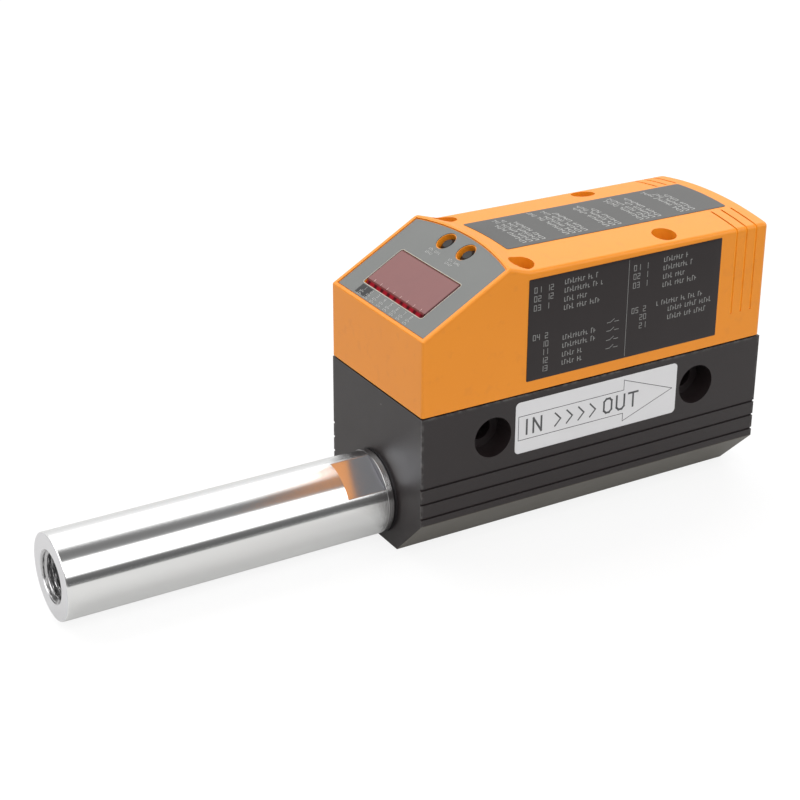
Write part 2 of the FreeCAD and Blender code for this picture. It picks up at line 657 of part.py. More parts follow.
def cap_outside(body):
    """The cap's outer form: slanted front, flank behind the crest, crowned deck and rounded edges."""
    section = new_sketch(body, "XZ_Plane")
    outline(section, [
        (f"-{HALF_LENGTH}", "0"),
        (HALF_LENGTH, "0"),
        (HALF_LENGTH, SKY),
        (f"-{HALF_LENGTH} + ({SKY} - dim.cap_front_height) / tan(dim.slant_angle)", SKY),
        (f"-{HALF_LENGTH}", "dim.cap_front_height"),
    ])
    pad(body, section, "dim.housing_width", symmetric=True)
    reach, beyond = f"({HALF_WIDTH} + dim.cut_through_spare)", f"{SKY} + dim.cap_wall"
    low = deck_height(DECK_START, reach)
    ways = (("cos(dim.deck_fall_angle)", "-sin(dim.deck_fall_angle)"),
            ("-cos(dim.flank_angle)", "sin(dim.flank_angle)"))
    for x, z in ways:
        above = new_sketch(body, "YZ_Plane", DECK_START)
        outline(above, [(reach, low), (f"-{reach}", low), (f"-{reach}", beyond), (reach, beyond)],
                arcs={0: CROWN_RADIUS})
        lean(pocket(body, above), x, z)

    end, side, edge = number(HALF_LENGTH), number(HALF_WIDTH), number(deck_height(HALF_LENGTH, HALF_WIDTH))
    slope_top, deck_start = number(f"-{HALF_LENGTH} + {SLOPE_RUN}"), number(DECK_START)

    def corner_at(x):
        def wanted(box):
            upright = box.XLength < NEAR and box.YLength < NEAR
            return upright and abs(box.XMin - x) < NEAR and abs(abs(box.YMin) - side) < NEAR
        return wanted

    round_edges(body, "dim.front_edge_radius", corner_at(-end))
    round_edges(body, "dim.rear_edge_radius", corner_at(end))
    round_edges(body, "dim.flank_foot_radius",
                lambda box: box.XLength < NEAR and abs(box.XMin - deck_start) < NEAR)
    round_edges(body, "dim.top_edge_radius",
                lambda box: box.ZMin > edge - NEAR and box.XMin > deck_start and box.XLength > NEAR)
    foot = number("dim.cap_front_height")
    round_edges(body, "dim.slant_edge_radius",
                lambda box: box.ZMin > foot - NEAR and box.XMax < slope_top + NEAR)


def cap_inside(body):
    """The cavity, the screw bosses that stand in it and the posts that hold the main board."""
    def roof(x):
        return f"({deck_height(x, INNER_HALF_WIDTH)} - dim.cap_wall)"

    drop = "dim.cap_wall / cos(dim.slant_angle)"
    end, top = f"{HALF_LENGTH} - dim.cap_wall", roof(f"-{HALF_LENGTH}")
    inner_run = f"({top} - dim.cap_front_height + {drop}) / (tan(dim.slant_angle) + tan(dim.deck_fall_angle))"
    peak = f"-{HALF_LENGTH} + {inner_run}"
    inner_foot = f"dim.cap_front_height + dim.cap_wall * tan(dim.slant_angle) - {drop}"
    section = new_sketch(body, "XZ_Plane")
    outline(section, [
        (f"-{HALF_LENGTH} + dim.cap_wall", "0"),
        (end, "0"),
        (end, roof(end)),
        (peak, roof(peak)),
        (f"-{HALF_LENGTH} + dim.cap_wall", inner_foot),
    ])
    pocket(body, section, "dim.housing_width - 2 * dim.cap_wall", symmetric=True)

    bosses = new_sketch(body, "XY_Plane")
    circles(bosses, CAP_SCREW_PLACES, BOSS_RADIUS)
    pad(body, bosses, top)
    post_floor = f"{MAIN_BOARD_TOP} - {CAP_FLOOR}"
    posts = new_sketch(body, "XY_Plane", post_floor)
    circles(posts, BOARD_SCREW_PLACES, "dim.board_post_radius")
    pad(body, posts, f"{top} - ({post_floor})")
    pilots = new_sketch(body, "XY_Plane", post_floor)
    circles(pilots, BOARD_SCREW_PLACES, PILOT_RADIUS)
    pocket(body, pilots, PILOT_DEPTH, outward=True)

    wells = new_sketch(body, "XY_Plane", SKY)
    circles(wells, CAP_SCREW_PLACES, "dim.well_radius")
    pocket(body, wells, f"{SKY} - dim.screw_seat_height")
    holes = new_sketch(body, "XY_Plane", SKY)
    circles(holes, CAP_SCREW_PLACES, CAP_SCREW_HOLE)
    pocket(body, holes)
    connector_hole = new_sketch(body, "YZ_Plane", HALF_LENGTH)
    circle(connector_hole, "0", "dim.connector_rise", "dim.connector_rear_radius + dim.connector_fit")
    pocket(body, connector_hole, "dim.cap_wall + dim.cut_through_spare")


def film_outline(sketch, gap):
    """Outline of the film: straight foot and sides, and a top that follows the crest."""
    half = f"({HALF_WIDTH} - dim.film_side_margin - {gap})"
    low, high = f"dim.film_foot_margin + {gap}", f"{SLOPE_EDGE} - dim.film_top_margin - {gap}"
    rise = f"({CREST_BEND} / sin(dim.slant_angle))"
    outline(sketch, [(low, f"-{half}"), (high, f"-{half}"), (high, half), (low, half)],
            arcs={1: f"({half}^2 + {rise}^2) / (2 * {rise})"})


def window_outline(sketch, gap):
    """Outline of the display window with rounded corners, a gap smaller all round."""
    round_rectangle(sketch, WINDOW_MIDDLE, "0", f"({WINDOW_HEIGHT} - 2 * {gap})",
                    f"(dim.window_width - 2 * {gap})", f"(dim.window_corner_radius - {gap})")


def cap_front(body):
    """What the slanted front holds: film recess, window opening, button wells and board posts."""
    inner = "dim.cap_wall / 2"
    sleeves = slant_sketch(body, "dim.button_sleeve_depth")
    circles(sleeves, BUTTON_PLACES, "dim.button_well_radius + dim.button_sleeve_wall")
    pad(body, sleeves, f"dim.button_sleeve_depth - {inner}")
    posts = slant_sketch(body, "dim.display_board_depth")
    circles(posts, DISPLAY_SCREW_PLACES, "dim.board_post_radius")
    pad(body, posts, f"dim.display_board_depth - {inner}")
    pilots = slant_sketch(body, "dim.display_board_depth")
    circles(pilots, DISPLAY_SCREW_PLACES, PILOT_RADIUS)
    pocket(body, pilots, PILOT_DEPTH, outward=True)
    recess = slant_sketch(body)
    film_outline(recess, "0")
    pocket(body, recess, "dim.film_recess")
    opening = slant_sketch(body)
    window_outline(opening, "0")
    pocket(body, opening, "dim.cap_wall + dim.cut_through_spare")
    wells = slant_sketch(body)
    circles(wells, BUTTON_PLACES, "dim.button_well_radius")
    pocket(body, wells, "dim.button_sleeve_depth + dim.cut_through_spare")


def cap_grips(body):
    """Shallow grooves over the top rails and down the sides, near the outlet end."""
    wall, depth, radius = HALF_WIDTH, "dim.grip_depth", "dim.top_edge_radius"
    start, bend, beyond = "dim.grip_rail_start", f"({wall} - {radius})", f"({wall} + dim.cap_wall)"
    last = f"({HALF_LENGTH} - dim.grip_inset)"
    section = new_sketch(body, "YZ_Plane", last)
    for side in BOTH_SIDES:
        outline(section, [
            (f"{side}({wall} - {depth})", "dim.grip_low"),
            (f"{side}({wall} - {depth})", f"{deck_height(last, wall)} - {radius}"),
            (f"{side}{bend}", f"{deck_height(last, bend)} - {depth}"),
            (f"{side}{start}", f"{deck_height(last, start)} - {depth}"),
            (f"{side}{start}", SKY),
            (f"{side}{beyond}", SKY),
            (f"{side}{beyond}", "dim.grip_low"),
        ], arcs={1: radius}, hollow=(1,) if side else ())
    groove = pocket(body, section, "dim.grip_width", symmetric=True)
    origin = {feature.Role: feature for feature in body.Origin.OriginFeatures}
    row = body.newObject("PartDesign::LinearPattern", "grip_row")
    row.Originals = [groove]
    row.Direction = (origin["X_Axis"], [""])
    row.Reversed = True
    row.setExpression("Length", f"{GRIPS - 1} * dim.grip_pitch")
    row.Occurrences = GRIPS
    body.Tip = row


def housing_cap():
    """Moulded cap that covers the electronics and carries the display front."""
    body = new_body("housing_cap")
    cap_outside(body)
    cap_inside(body)
    cap_front(body)
    cap_grips(body)
    place(body, z=CAP_FLOOR)


def screw(name, kind, socket=False):
    """A screw with a round head above its seat and a plain shank below it."""
    head, height = f"dim.{kind}_screw_head_radius", f"dim.{kind}_screw_head_height"
    shank, length = f"dim.{kind}_screw_radius", f"dim.{kind}_screw_length"
    profile = [
        ("0", f"-{length}"), (shank, f"-{length}"), (shank, "0"),
        (head, "0"), (head, height), ("0", height),
    ]
    body = turned(name, profile, "V_Axis", listed=False)
    if socket:
        key = new_sketch(body, "XY_Plane", height)
        hexagon(key, f"dim.{kind}_screw_socket_width")
        pocket(body, key, f"dim.{kind}_screw_socket_depth")
    return body


def screws():
    """The screws of the cap, the boards and the sensor carrier, one group each."""
    cap_screws, board_screws, display_screws, carrier_screws = [], [], [], []
    for x, y in CAP_SCREW_PLACES:
        cap_screws.append(screw("cap_screw", "cap", socket=True))
        place(cap_screws[-1], x, y, f"{CAP_FLOOR} + dim.screw_seat_height")
    for x, y in BOARD_SCREW_PLACES:
        board_screws.append(screw("board_screw", "small"))
        board_screws[-1].Placement.Rotation = Rotation(Vector(1, 0, 0), 180)
        place(board_screws[-1], x, y, MAIN_BOARD_FLOOR)
    for along, across in DISPLAY_SCREW_PLACES:
        display_screws.append(screw("display_screw", "small"))
        place_on_slant(display_screws[-1], along, across, DISPLAY_BOARD_BACK, turn="180")
    for side in BOTH_SIDES:
        carrier_screws.append(screw("carrier_screw", "small"))
        place(carrier_screws[-1], "0", f"{side}{CARRIER_SCREW_PLACE}",
              f"{POCKET_FLOOR} + dim.carrier_thickness")
    group("cap_screws", cap_screws)
    group("board_screws", board_screws)
    group("display_screws", display_screws)
    group("carrier_screws", carrier_screws)


def main_board():
    """Circuit board that hangs from posts under the top of the cap."""
    body = new_body("main_board")
    sheet = new_sketch(body, "XY_Plane", MAIN_BOARD_FLOOR)
    rectangle(sheet, MAIN_BOARD_CENTER, "0", MAIN_BOARD_LENGTH, MAIN_BOARD_WIDTH)
    circles(sheet, BOARD_SCREW_PLACES, BOARD_SCREW_HOLE)
    pad(body, sheet, "dim.board_thickness")


def leads():
    """Flat leads: sensor board to main board, and main board to display board."""
    sheet, left = "dim.lead_thickness", "dim.sensor_lead_place"
    foot = f"{left} + dim.lead_foot"
    low, high = SENSOR_BOARD_TOP, MAIN_BOARD_FLOOR
    body = new_body("sensor_lead")
    bent = new_sketch(body, "XZ_Plane")
    outline(bent, [
        (left, low), (foot, low), (foot, f"{low} + {sheet}"), (f"{left} + {sheet}", f"{low} + {sheet}"),
        (f"{left} + {sheet}", f"{high} - {sheet}"), (foot, f"{high} - {sheet}"), (foot, high), (left, high),
    ])
    pad(body, bent, "dim.lead_width", symmetric=True)

    def display_back(x):
        drop = f"{DISPLAY_BOARD_BACK} / cos(dim.slant_angle)"
        return f"{CAP_FLOOR} + dim.cap_front_height + ({x} + {HALF_LENGTH}) * tan(dim.slant_angle) - {drop}"

    near = f"{MAIN_BOARD_START} + dim.display_lead_inset"
    far = f"{near} + {sheet}"
    body = new_body("display_lead")
    strip = new_sketch(body, "XZ_Plane")
    outline(strip, [
        (near, MAIN_BOARD_TOP), (far, MAIN_BOARD_TOP),
        (far, display_back(far)), (near, display_back(near)),
    ])
    pad(body, strip, "dim.lead_width", symmetric=True)


def front_film():
    """Printed film in the shallow recess of the slanted front."""
    body = new_body("front_film")
    sheet = new_sketch(body, "XY_Plane", "-dim.film_recess")
    film_outline(sheet, "dim.film_gap")
    window_outline(sheet, "0")
    circles(sheet, BUTTON_PLACES, "dim.button_well_radius + dim.button_rim")
    pad(body, sheet, "dim.film_thickness")
    place_on_slant(body)


def display_window():
    """Red acrylic lens with a bevelled lower edge, pushed in from inside up to a flange."""
    body = new_body("display_window")
    flange = new_sketch(body, "XY_Plane", "-dim.cap_wall - dim.window_flange_thickness")
    rectangle(flange, WINDOW_MIDDLE, "0", f"{WINDOW_HEIGHT} + 2 * dim.window_flange",
              "dim.window_width + 2 * dim.window_flange")
    pad(body, flange, "dim.window_flange_thickness")
    lens = new_sketch(body, "XY_Plane", "-dim.cap_wall")
    window_outline(lens, "dim.window_fit")
    pad(body, lens, "dim.cap_wall - dim.window_set_back")
    low, front = "dim.window_start + dim.window_fit", "-dim.window_set_back"
    foot, corner = f"{front} - dim.window_bevel_drop", f"{low} + dim.window_bevel"
    bevel = new_sketch(body, "XZ_Plane")
    outline(bevel, [
        (corner, front), (low, foot), ("dim.window_start", foot), ("dim.window_start", "0"), (corner, "0"),
    ])
    pocket(body, bevel, symmetric=True)
    place_on_slant(body)


def display_board():
    """Board behind the slanted front, with the digit module and a row of light guides."""
    body = new_body("display_board")
    sheet = new_sketch(body, "XY_Plane", f"-{DISPLAY_BOARD_BACK}")
    start, end = "dim.display_board_start", f"{BUTTON_STATION} + dim.display_board_margin"
    shoulder = f"{BUTTON_STATION} - dim.display_shoulder_gap"
    wide = "(dim.display_post_spacing / 2 + dim.display_post_edge)"
    neck = f"({HALF_WIDTH} - dim.display_neck_inset)"
    outline(sheet, [
        (start, f"-{wide}"), (shoulder, f"-{wide}"), (shoulder, f"-{neck}"), (end, f"-{neck}"),
        (end, neck), (shoulder, neck), (shoulder, wide), (start, wide),
    ])
    circles(sheet, DISPLAY_SCREW_PLACES, BOARD_SCREW_HOLE)
    pad(body, sheet, "dim.board_thickness")
    place_on_slant(body)

    module = new_body("display_module")
    block = new_sketch(module, "XY_Plane", "-dim.display_board_depth")
    length = f"({WINDOW_END} - dim.module_window_gap - dim.module_start)"
    rectangle(block, f"dim.module_start + {length} / 2", "0", length, "dim.module_width")
    room = "dim.display_board_depth - dim.cap_wall - dim.window_flange_thickness"
    pad(module, block, f"{room} - dim.module_gap")
    place_on_slant(module)

    leds = new_body("indicator_leds")
    row = new_sketch(leds, "XY_Plane", "-dim.display_board_depth")
    for led in range(INDICATOR_LEDS):
        across = f"{led - (INDICATOR_LEDS - 1) / 2} * dim.led_pitch"
        rectangle(row, "dim.led_station", across, "dim.led_length", "dim.led_width")
    pad(leds, row, "dim.led_height")
    place_on_slant(leds)


def setting_button(label, across):
    """Plunger that moves in a sleeve of the cap and presses the dome in its switch."""
    tip, chamfer = "-dim.button_tip_depth", "dim.button_tip_chamfer"
    radius, stem = "dim.button_tip_radius", "dim.button_stem_radius"
    flange = "dim.button_well_radius - dim.button_fit"
    shoulder = f"{tip} - dim.button_tip_height"
    flange_back = f"{shoulder} - dim.button_flange_thickness"
    stem_end = "-(dim.display_board_depth - dim.switch_floor - dim.dome_rise - dim.dome_gap)"
    profile = [
        ("0", tip), (f"{radius} - {chamfer}", tip), (radius, f"{tip} - {chamfer}"),
        (radius, shoulder), (flange, shoulder), (flange, flange_back),
        (stem, flange_back), (stem, stem_end), ("0", stem_end),
    ]
    place_on_slant(turned(label, profile, "V_Axis"), BUTTON_STATION, across)


def button_switch(label, across):
    """Square push switch on the display board, hollow for its snap dome."""
    body = new_body(label)
    case = new_sketch(body, "XY_Plane")
    rectangle(case, "0", "0", "dim.switch_width", "dim.switch_width")
    pad(body, case, "dim.switch_height")
    hollow = new_sketch(body, "XY_Plane", "dim.switch_height - dim.switch_lid")
    circle(hollow, "0", "0", "dim.dome_radius + dim.switch_room")
    pocket(body, hollow, "dim.switch_height - dim.switch_lid - dim.switch_floor")
    hole = new_sketch(body, "XY_Plane", "dim.switch_height")
    circle(hole, "0", "0", "dim.button_stem_radius + dim.switch_room")
    pocket(body, hole, "dim.switch_lid + dim.switch_room")
    place_on_slant(body, BUTTON_STATION, across, "dim.display_board_depth")


def snap_dome(label, across):
    """Dome pressed from thin spring sheet, with a flat crown; it returns the button."""
    radius, crown, sheet = "dim.dome_radius", "dim.dome_crown_radius", "dim.dome_sheet"
    floor = "dim.switch_floor"
    top = f"{floor} + dim.dome_rise"
    body = turned(label, [
        (f"{radius} - 2 * {sheet}", floor), (radius, floor), (crown, top), ("0", top),
        ("0", f"{top} - {sheet}"), (f"{crown} - {sheet}", f"{top} - {sheet}"),
    ], "V_Axis")
    place_on_slant(body, BUTTON_STATION, across, "dim.display_board_depth")


def setting_buttons():
    """Two buttons side by side, each with its switch and its dome."""
    for name, side in (("mode", ""), ("set", "-")):
        across = f"{side}dim.button_spacing / 2"
        setting_button(f"{name}_button", across)
        button_switch(f"{name}_switch", across)
        snap_dome(f"{name}_dome", across)


def plug_connector():
    """Round four-pin plug: nickel shell, moulded insert, pins, seal and nut."""
    rear, reach = "-dim.connector_rear_length", "dim.connector_reach"
    cavity, thread = "dim.connector_cavity_radius", "dim.connector_thread_radius"
    chamfer = "dim.connector_thread_chamfer"
    flange, thick = "dim.connector_flange_radius", "dim.connector_flange_thickness"
    side = "dim.connector_seal_side"
    inner = "dim.connector_rear_radius + dim.connector_seal_gap"
    outer = f"{inner} + {side}"
    shell = turned("connector_shell", [
        (rear, cavity), (reach, cavity), (reach, f"{thread} - {chamfer}"), (f"{reach} - {chamfer}", thread),
        (thick, thread), (thick, flange), ("0", flange),
        ("0", outer), (side, outer), (side, inner), ("0", inner),
        ("0", "dim.connector_rear_radius"), (rear, "dim.connector_rear_radius"),
    ], "H_Axis")
    insert_start = f"-{CONNECTOR_REAR}"
    core = f"{cavity} - dim.connector_fit"
    insert = turned("connector_insert", [
        (insert_start, "0"), (insert_start, core), ("dim.insert_face", core), ("dim.insert_face", "0"),
    ], "H_Axis")
    places = four_places("(2 * dim.pin_offset)", "(2 * dim.pin_offset)")
    holes = new_sketch(insert, "YZ_Plane", "dim.insert_face")
    circles(holes, places, "dim.pin_radius + dim.pin_fit")
    pocket(insert, holes)
    pins = new_body("connector_pins")
    pin_start = f"{insert_start} - dim.pin_tail"
    ends = new_sketch(pins, "YZ_Plane", pin_start)
    circles(ends, places, "dim.pin_radius")
    pad(pins, ends, f"{reach} - dim.pin_set_back - ({pin_start})")
    nut = new_body("connector_nut")
    flats = new_sketch(nut, "YZ_Plane", "-dim.cap_wall - dim.connector_nut_thickness")
    hexagon(flats, "dim.connector_nut_width")
    circle(flats, "0", "0", "dim.connector_rear_radius + dim.thread_fit")
    pad(nut, flats, "dim.connector_nut_thickness")
    seal = turned("connector_seal", [("0", inner), (side, inner), (side, outer), ("0", outer)], "H_Axis")
    for body in (shell, insert, pins, nut, seal):
        place(body, HALF_LENGTH, "0", CONNECTOR_HEIGHT)


def labels():
    """Thin adhesive films on the cap's side and top, and the flow plate on the base."""
    side = new_body("side_label")
    sheet = new_sketch(side, "XZ_Plane", HALF_WIDTH)
    start, end = f"-{HALF_LENGTH} + dim.side_label_start_inset", f"{HALF_LENGTH} - dim.side_label_end_inset"
    low = f"{CAP_FLOOR} + dim.side_label_low"
    high = f"{CAP_FLOOR} + {deck_height(end, HALF_WIDTH)} - dim.side_label_top_gap"
    outline(sheet, [(start, low), (end, low), (end, high), (start, high)])
    pad(side, sheet, "dim.label_thickness")

    top = new_body("top_label")
    half = "dim.top_label_width / 2"
    start, end = f"({DECK_START} + dim.top_label_gap)", f"({HALF_LENGTH} - dim.top_label_end_inset)"
    edge, thick = f"{CAP_FLOOR} + {deck_height(start, half)}", "dim.label_thickness"
    section = new_sketch(top, "YZ_Plane", start)
    outline(section, [
        (half, edge), (f"-{half}", edge),
        (f"-{half}", f"{edge} + {thick}"), (half, f"{edge} + {thick}"),
    ], arcs={0: CROWN_RADIUS, 2: CROWN_RADIUS}, hollow=(2,))
    strip = pad(top, section, f"({end} - {start}) / cos(dim.deck_fall_angle)")
    lean(strip, "cos(dim.deck_fall_angle)", "-sin(dim.deck_fall_angle)")

    plate = new_body("flow_plate")
    sheet = new_sketch(plate, "XZ_Plane", HALF_WIDTH)
    length = "(dim.mount_pitch - 2 * (dim.mount_seat_radius + dim.plate_end_gap))"
    low = f"({TOP_GROOVE} + dim.side_groove_width / 2 + dim.plate_groove_gap)"
    height = f"(dim.base_height - dim.plate_top_gap - {low})"
    round_rectangle(sheet, "0", f"{low} + {height} / 2", length, height, "dim.plate_corner_radius")
    pad(plate, sheet, "dim.label_thickness")


base_block()
measuring_pipe()
pipe_seals()
sensor_carrier()
probes()
sensor_board()
base_gasket()
housing_cap()
screws()
main_board()
leads()
front_film()
display_window()
display_board()
setting_buttons()
plug_connector()
labels()
doc.recompute()

for feature in doc.Objects:
    if {"Invalid", "Error"} & set(feature.State):
        raise RuntimeError(f"{feature.Name} failed: {feature.State}")
for piece in sub_parts:
    if piece.Shape.isNull() or not piece.Shape.isValid():
        raise RuntimeError(f"{piece.Label} has no valid shape")

os.makedirs("parts", exist_ok=True)
for piece in sub_parts:
    piece.Shape.exportStep(f"parts/{piece.Label}.step")
    print(piece.Label, len(piece.Shape.Solids), "solids", round(piece.Shape.Volume, 2), "mm3")
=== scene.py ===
import bpy
import numpy as np
from mathutils import Matrix, Vector


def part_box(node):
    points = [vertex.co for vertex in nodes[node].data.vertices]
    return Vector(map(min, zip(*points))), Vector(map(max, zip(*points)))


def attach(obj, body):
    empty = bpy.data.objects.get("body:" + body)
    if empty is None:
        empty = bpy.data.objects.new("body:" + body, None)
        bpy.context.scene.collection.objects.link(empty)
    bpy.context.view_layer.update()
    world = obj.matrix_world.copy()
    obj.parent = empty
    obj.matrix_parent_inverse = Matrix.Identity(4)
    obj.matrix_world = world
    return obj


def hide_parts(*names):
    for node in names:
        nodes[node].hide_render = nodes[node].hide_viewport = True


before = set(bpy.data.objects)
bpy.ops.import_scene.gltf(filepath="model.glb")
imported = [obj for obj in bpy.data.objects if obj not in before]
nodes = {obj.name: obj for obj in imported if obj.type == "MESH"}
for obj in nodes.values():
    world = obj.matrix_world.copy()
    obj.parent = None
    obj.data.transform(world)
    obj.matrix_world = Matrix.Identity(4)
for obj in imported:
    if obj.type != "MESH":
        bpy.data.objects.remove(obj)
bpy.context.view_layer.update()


# Base block: the body of the meter, one length of aluminium extrusion that is sawn off,
# drilled for the pipe and for two cross bolts, and anodised black. The extrusion's drawing
# lines run along it, its edges are rubbed paler, and the chamfers of its foot carry a painted
# reflection: a paler colour in place of the bright floor that they mirror.
MM = 0.001


class Tone:
    """A socket of a finish that takes part in arithmetic: each operator adds one Math node."""

    def __init__(self, tree, socket=None):
        self.tree = tree
        self.socket = socket

    def node(self, kind, settings=(), sockets=(), output=0):
        """Add a node of that kind: its settings come first, then its sockets' values or links."""
        made = self.tree.nodes.new(kind)
        for name, value in dict(settings).items():
            if name == "stops":
                ramp = made.color_ramp.elements
                while len(ramp) < len(value):
                    ramp.new(1.0)
                for stop, (place, level) in zip(ramp, value):
                    stop.position = place
                    stop.color = (level, level, level, 1.0)
            else:
                setattr(made, name, value)
        for name, value in dict(sockets).items():
            if isinstance(value, Tone):
                self.tree.links.new(value.socket, made.inputs[name])
            else:
                made.inputs[name].default_value = value
        return Tone(self.tree, made.outputs[output])

    def math(self, operation, first, second=0.0):
        return self.node("ShaderNodeMath", {"operation": operation}, {0: first, 1: second})

    def __add__(self, other):
        return self.math("ADD", self, other)

    def __radd__(self, other):
        return self.math("ADD", other, self)

    def __sub__(self, other):
        return self.math("SUBTRACT", self, other)

    def __rsub__(self, other):
        return self.math("SUBTRACT", other, self)

    def __mul__(self, other):
        return self.math("MULTIPLY", self, other)

    def __rmul__(self, other):
        return self.math("MULTIPLY", other, self)

    def __truediv__(self, other):
        return self.math("DIVIDE", self, other)

    def __abs__(self):
        return self.math("ABSOLUTE", self)

    def at_most(self, other):
        return self.math("MINIMUM", self, other)

    def between(self, low, high):
        """0 below low, 1 above high, and a smooth rise in between (or a fall where low is above high)."""
        return self.node("ShaderNodeMapRange", {"interpolation_type": "SMOOTHSTEP"},
                         {"Value": self, "From Min": low, "From Max": high})

    def sine(self):
        return self.math("SINE", self)

    def root(self):
        return self.math("SQRT", self)

    def fraction(self):
        return self.math("FRACT", self)

    def vector(self, operation, other=(0.0, 0.0, 0.0), output=0):
        """Arithmetic of two vectors; a length or a dot product is a number and comes from output 1."""
        return self.node("ShaderNodeVectorMath", {"operation": operation}, {0: self, 1: other}, output)

    def axis(self, index):
        """One coordinate of a vector socket."""
        return self.node("ShaderNodeSeparateXYZ", {}, {0: self}, output=index)

    def tint(self, first, second):
        """A colour mixed from first, where this is 0, to second, where this is 1."""
        first, second = (c if isinstance(c, Tone) else (*c, 1.0) for c in (first, second))
        return self.node("ShaderNodeMix", {"data_type": "RGBA"}, {0: self, 6: first, 7: second}, output=2)

    def cloud(self, size, detail=2.0, stretch=(1.0, 1.0, 1.0)):
        """Soft noise with blotches about size metres wide, drawn out along the axes by stretch."""
        scale = [1 / (size * drawn) for drawn in stretch]
        spread = self.node("ShaderNodeMapping", {}, {"Vector": self, "Scale": scale})
        return self.node("ShaderNodeTexNoise", {}, {"Vector": spread, "Scale": 1.0, "Detail": detail})

    def specks(self, pitch, share):
        """1 in small round dots about pitch metres apart; share is a dot's size in its cell."""
        cell = self.node("ShaderNodeTexVoronoi", {}, {"Vector": self, "Scale": 1 / pitch})
        return cell.between(share, share * 0.5)

    def relief(self, depth, strength=1.0):
        """A surface normal bent by this height, which stands for depth metres."""
        return self.node("ShaderNodeBump", {}, {"Height": self, "Distance": depth, "Strength": strength})


def finish(name, uniform):
    """A new material with its uniform sockets set; gives the material and its Object coordinates."""
    material = bpy.data.materials.new(name)
    material.use_nodes = True
    shader = material.node_tree.nodes["Principled BSDF"]
    for socket, value in uniform.items():
        shader.inputs[socket].default_value = value
    return material, Tone(material.node_tree).node("ShaderNodeTexCoord", output=3)


def coat(material, varying):
    """Link what changes over the surface to the material's shader."""
    shader = material.node_tree.nodes["Principled BSDF"]
    for socket, tone in varying.items():
        material.node_tree.links.new(tone.socket, shader.inputs[socket])


def dress(material, *names):
    """Give CAD nodes their finish."""
    for name in names:
        nodes[name].material_slots[0].material = material


black_anodised, place = finish("black_anodised", {"IOR": 1.5, "Specular IOR Level": 0.65})
drawing_lines = place.cloud(0.12 * MM, detail=3.0, stretch=(300.0, 1.0, 1.0))
blotches = place.cloud(9 * MM, detail=3.0)
across, height = abs(place.axis(1)), place.axis(2)
block_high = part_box("base_block")[1]
end_edge = (block_high.x - abs(place.axis(0))) + (block_high.y - across)
top_edge = (block_high.z - height) + (block_high.y - across)
scuffs = place.cloud(1.5 * MM, detail=4.0).between(0.4, 0.65)
rubbed = end_edge.at_most(top_edge).between(0.9 * MM, 0.1 * MM) * scuffs
dust = place.specks(5.5 * MM, 0.05) * place.cloud(16 * MM).between(0.5, 0.62)
worn = (0.35 * rubbed + 0.9 * dust).at_most(1.0)
FOOT_CHAMFER = 11.8
from_chamfer = abs(across - height - (block_high.y - FOOT_CHAMFER * MM))
black = blotches.tint((0.0090, 0.0056, 0.0060), (0.0140, 0.0094, 0.0098))
# Painted reflection: the foot chamfers are tinted paler in place of the bright floor that they mirror.
black_with_painted_chamfer = from_chamfer.between(0.2 * MM, 0.1 * MM).tint(black, (0.084, 0.073, 0.056))
coat(black_anodised, {
    "Base Color": worn.tint(black_with_painted_chamfer, (0.16, 0.155, 0.15)),
    "Roughness": 0.36 + 0.1 * blotches + 0.08 * drawing_lines,
    "Normal": drawing_lines.relief(0.006 * MM, 0.5),
})
dress(black_anodised, "base_block")


# Measuring pipe: stainless bar, drilled through, turned and polished, with a pipe thread cut
# into each end, two flats milled for a spanner, and a low collar and an undercut beside the
# base block. A hole through its upper wall takes the sensor carrier.
def skin(name, grid, close_rows=True, close_columns=True):
    """A mesh on a grid of points: each row and column is joined to the next, round to the first if closed."""
    rows, columns = grid.shape[:2]
    row = np.arange(rows if close_rows else rows - 1)[:, None]
    column = np.arange(columns if close_columns else columns - 1)[None, :]
    near, far = row * columns, (row + 1) % rows * columns
    beside = (column + 1) % columns
    quads = np.stack([near + column, far + column, far + beside, near + beside], axis=-1).reshape(-1, 4)
    return solid(name, grid.reshape(-1, 3), quads)


def solid(name, points, faces, crease=32):
    """An object from points in metres and faces as rows of point numbers.

    The faces are turned outwards where the volume that they enclose, the sum of a . (b x c) over the
    triangles, comes out negative. Edges bent by more than crease degrees stay sharp.
    """
    mesh = bpy.data.meshes.new(name)
    mesh.from_pydata(np.asarray(points, float).tolist(), [], [list(face) for face in faces])
    mesh.validate()
    mesh.calc_loop_triangles()
    corners = np.array([triangle.vertices[:] for triangle in mesh.loop_triangles])
    a, b, c = (np.asarray(points, float)[corners[:, i]] for i in range(3))
    if np.einsum("ij,ij->", a, np.cross(b, c)) < 0:
        mesh.flip_normals()
    mesh.shade_smooth()
    mesh.set_sharp_from_angle(angle=np.radians(crease))
    piece = bpy.data.objects.new(name, mesh)
    bpy.context.scene.collection.objects.link(piece)
    return piece


def fit(piece, material, body, slot, *replaced):
    """Finish a new piece: its material, the body it moves with and the CAD nodes it stands for; its slot is
    not used.
    """
    piece.data.materials.append(material)
    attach(piece, body)
    if replaced:
        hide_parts(*replaced)


def along_profile(corners, finest):
    """Points along straight runs between corners, no further apart than each run's own spacing."""
    runs = []
    for (start, end), spacing in zip(zip(corners, corners[1:] + corners[:1]), finest):
        start, end = np.array(start, float), np.array(end, float)
        count = max(1, int(np.ceil(np.linalg.norm(end - start) / spacing)))
        runs.append(start + (end - start) * np.arange(count)[:, None] / count)
    return np.concatenate(runs)


def tooth(turn, blunt=0.12):
    """Height of a thread against turns: a triangle wave from 0 to 1, cut flat by blunt at crest and root."""
    return np.clip((np.abs(2 * (turn % 1.0) - 1) - blunt) / (1 - 2 * blunt), 0, 1)


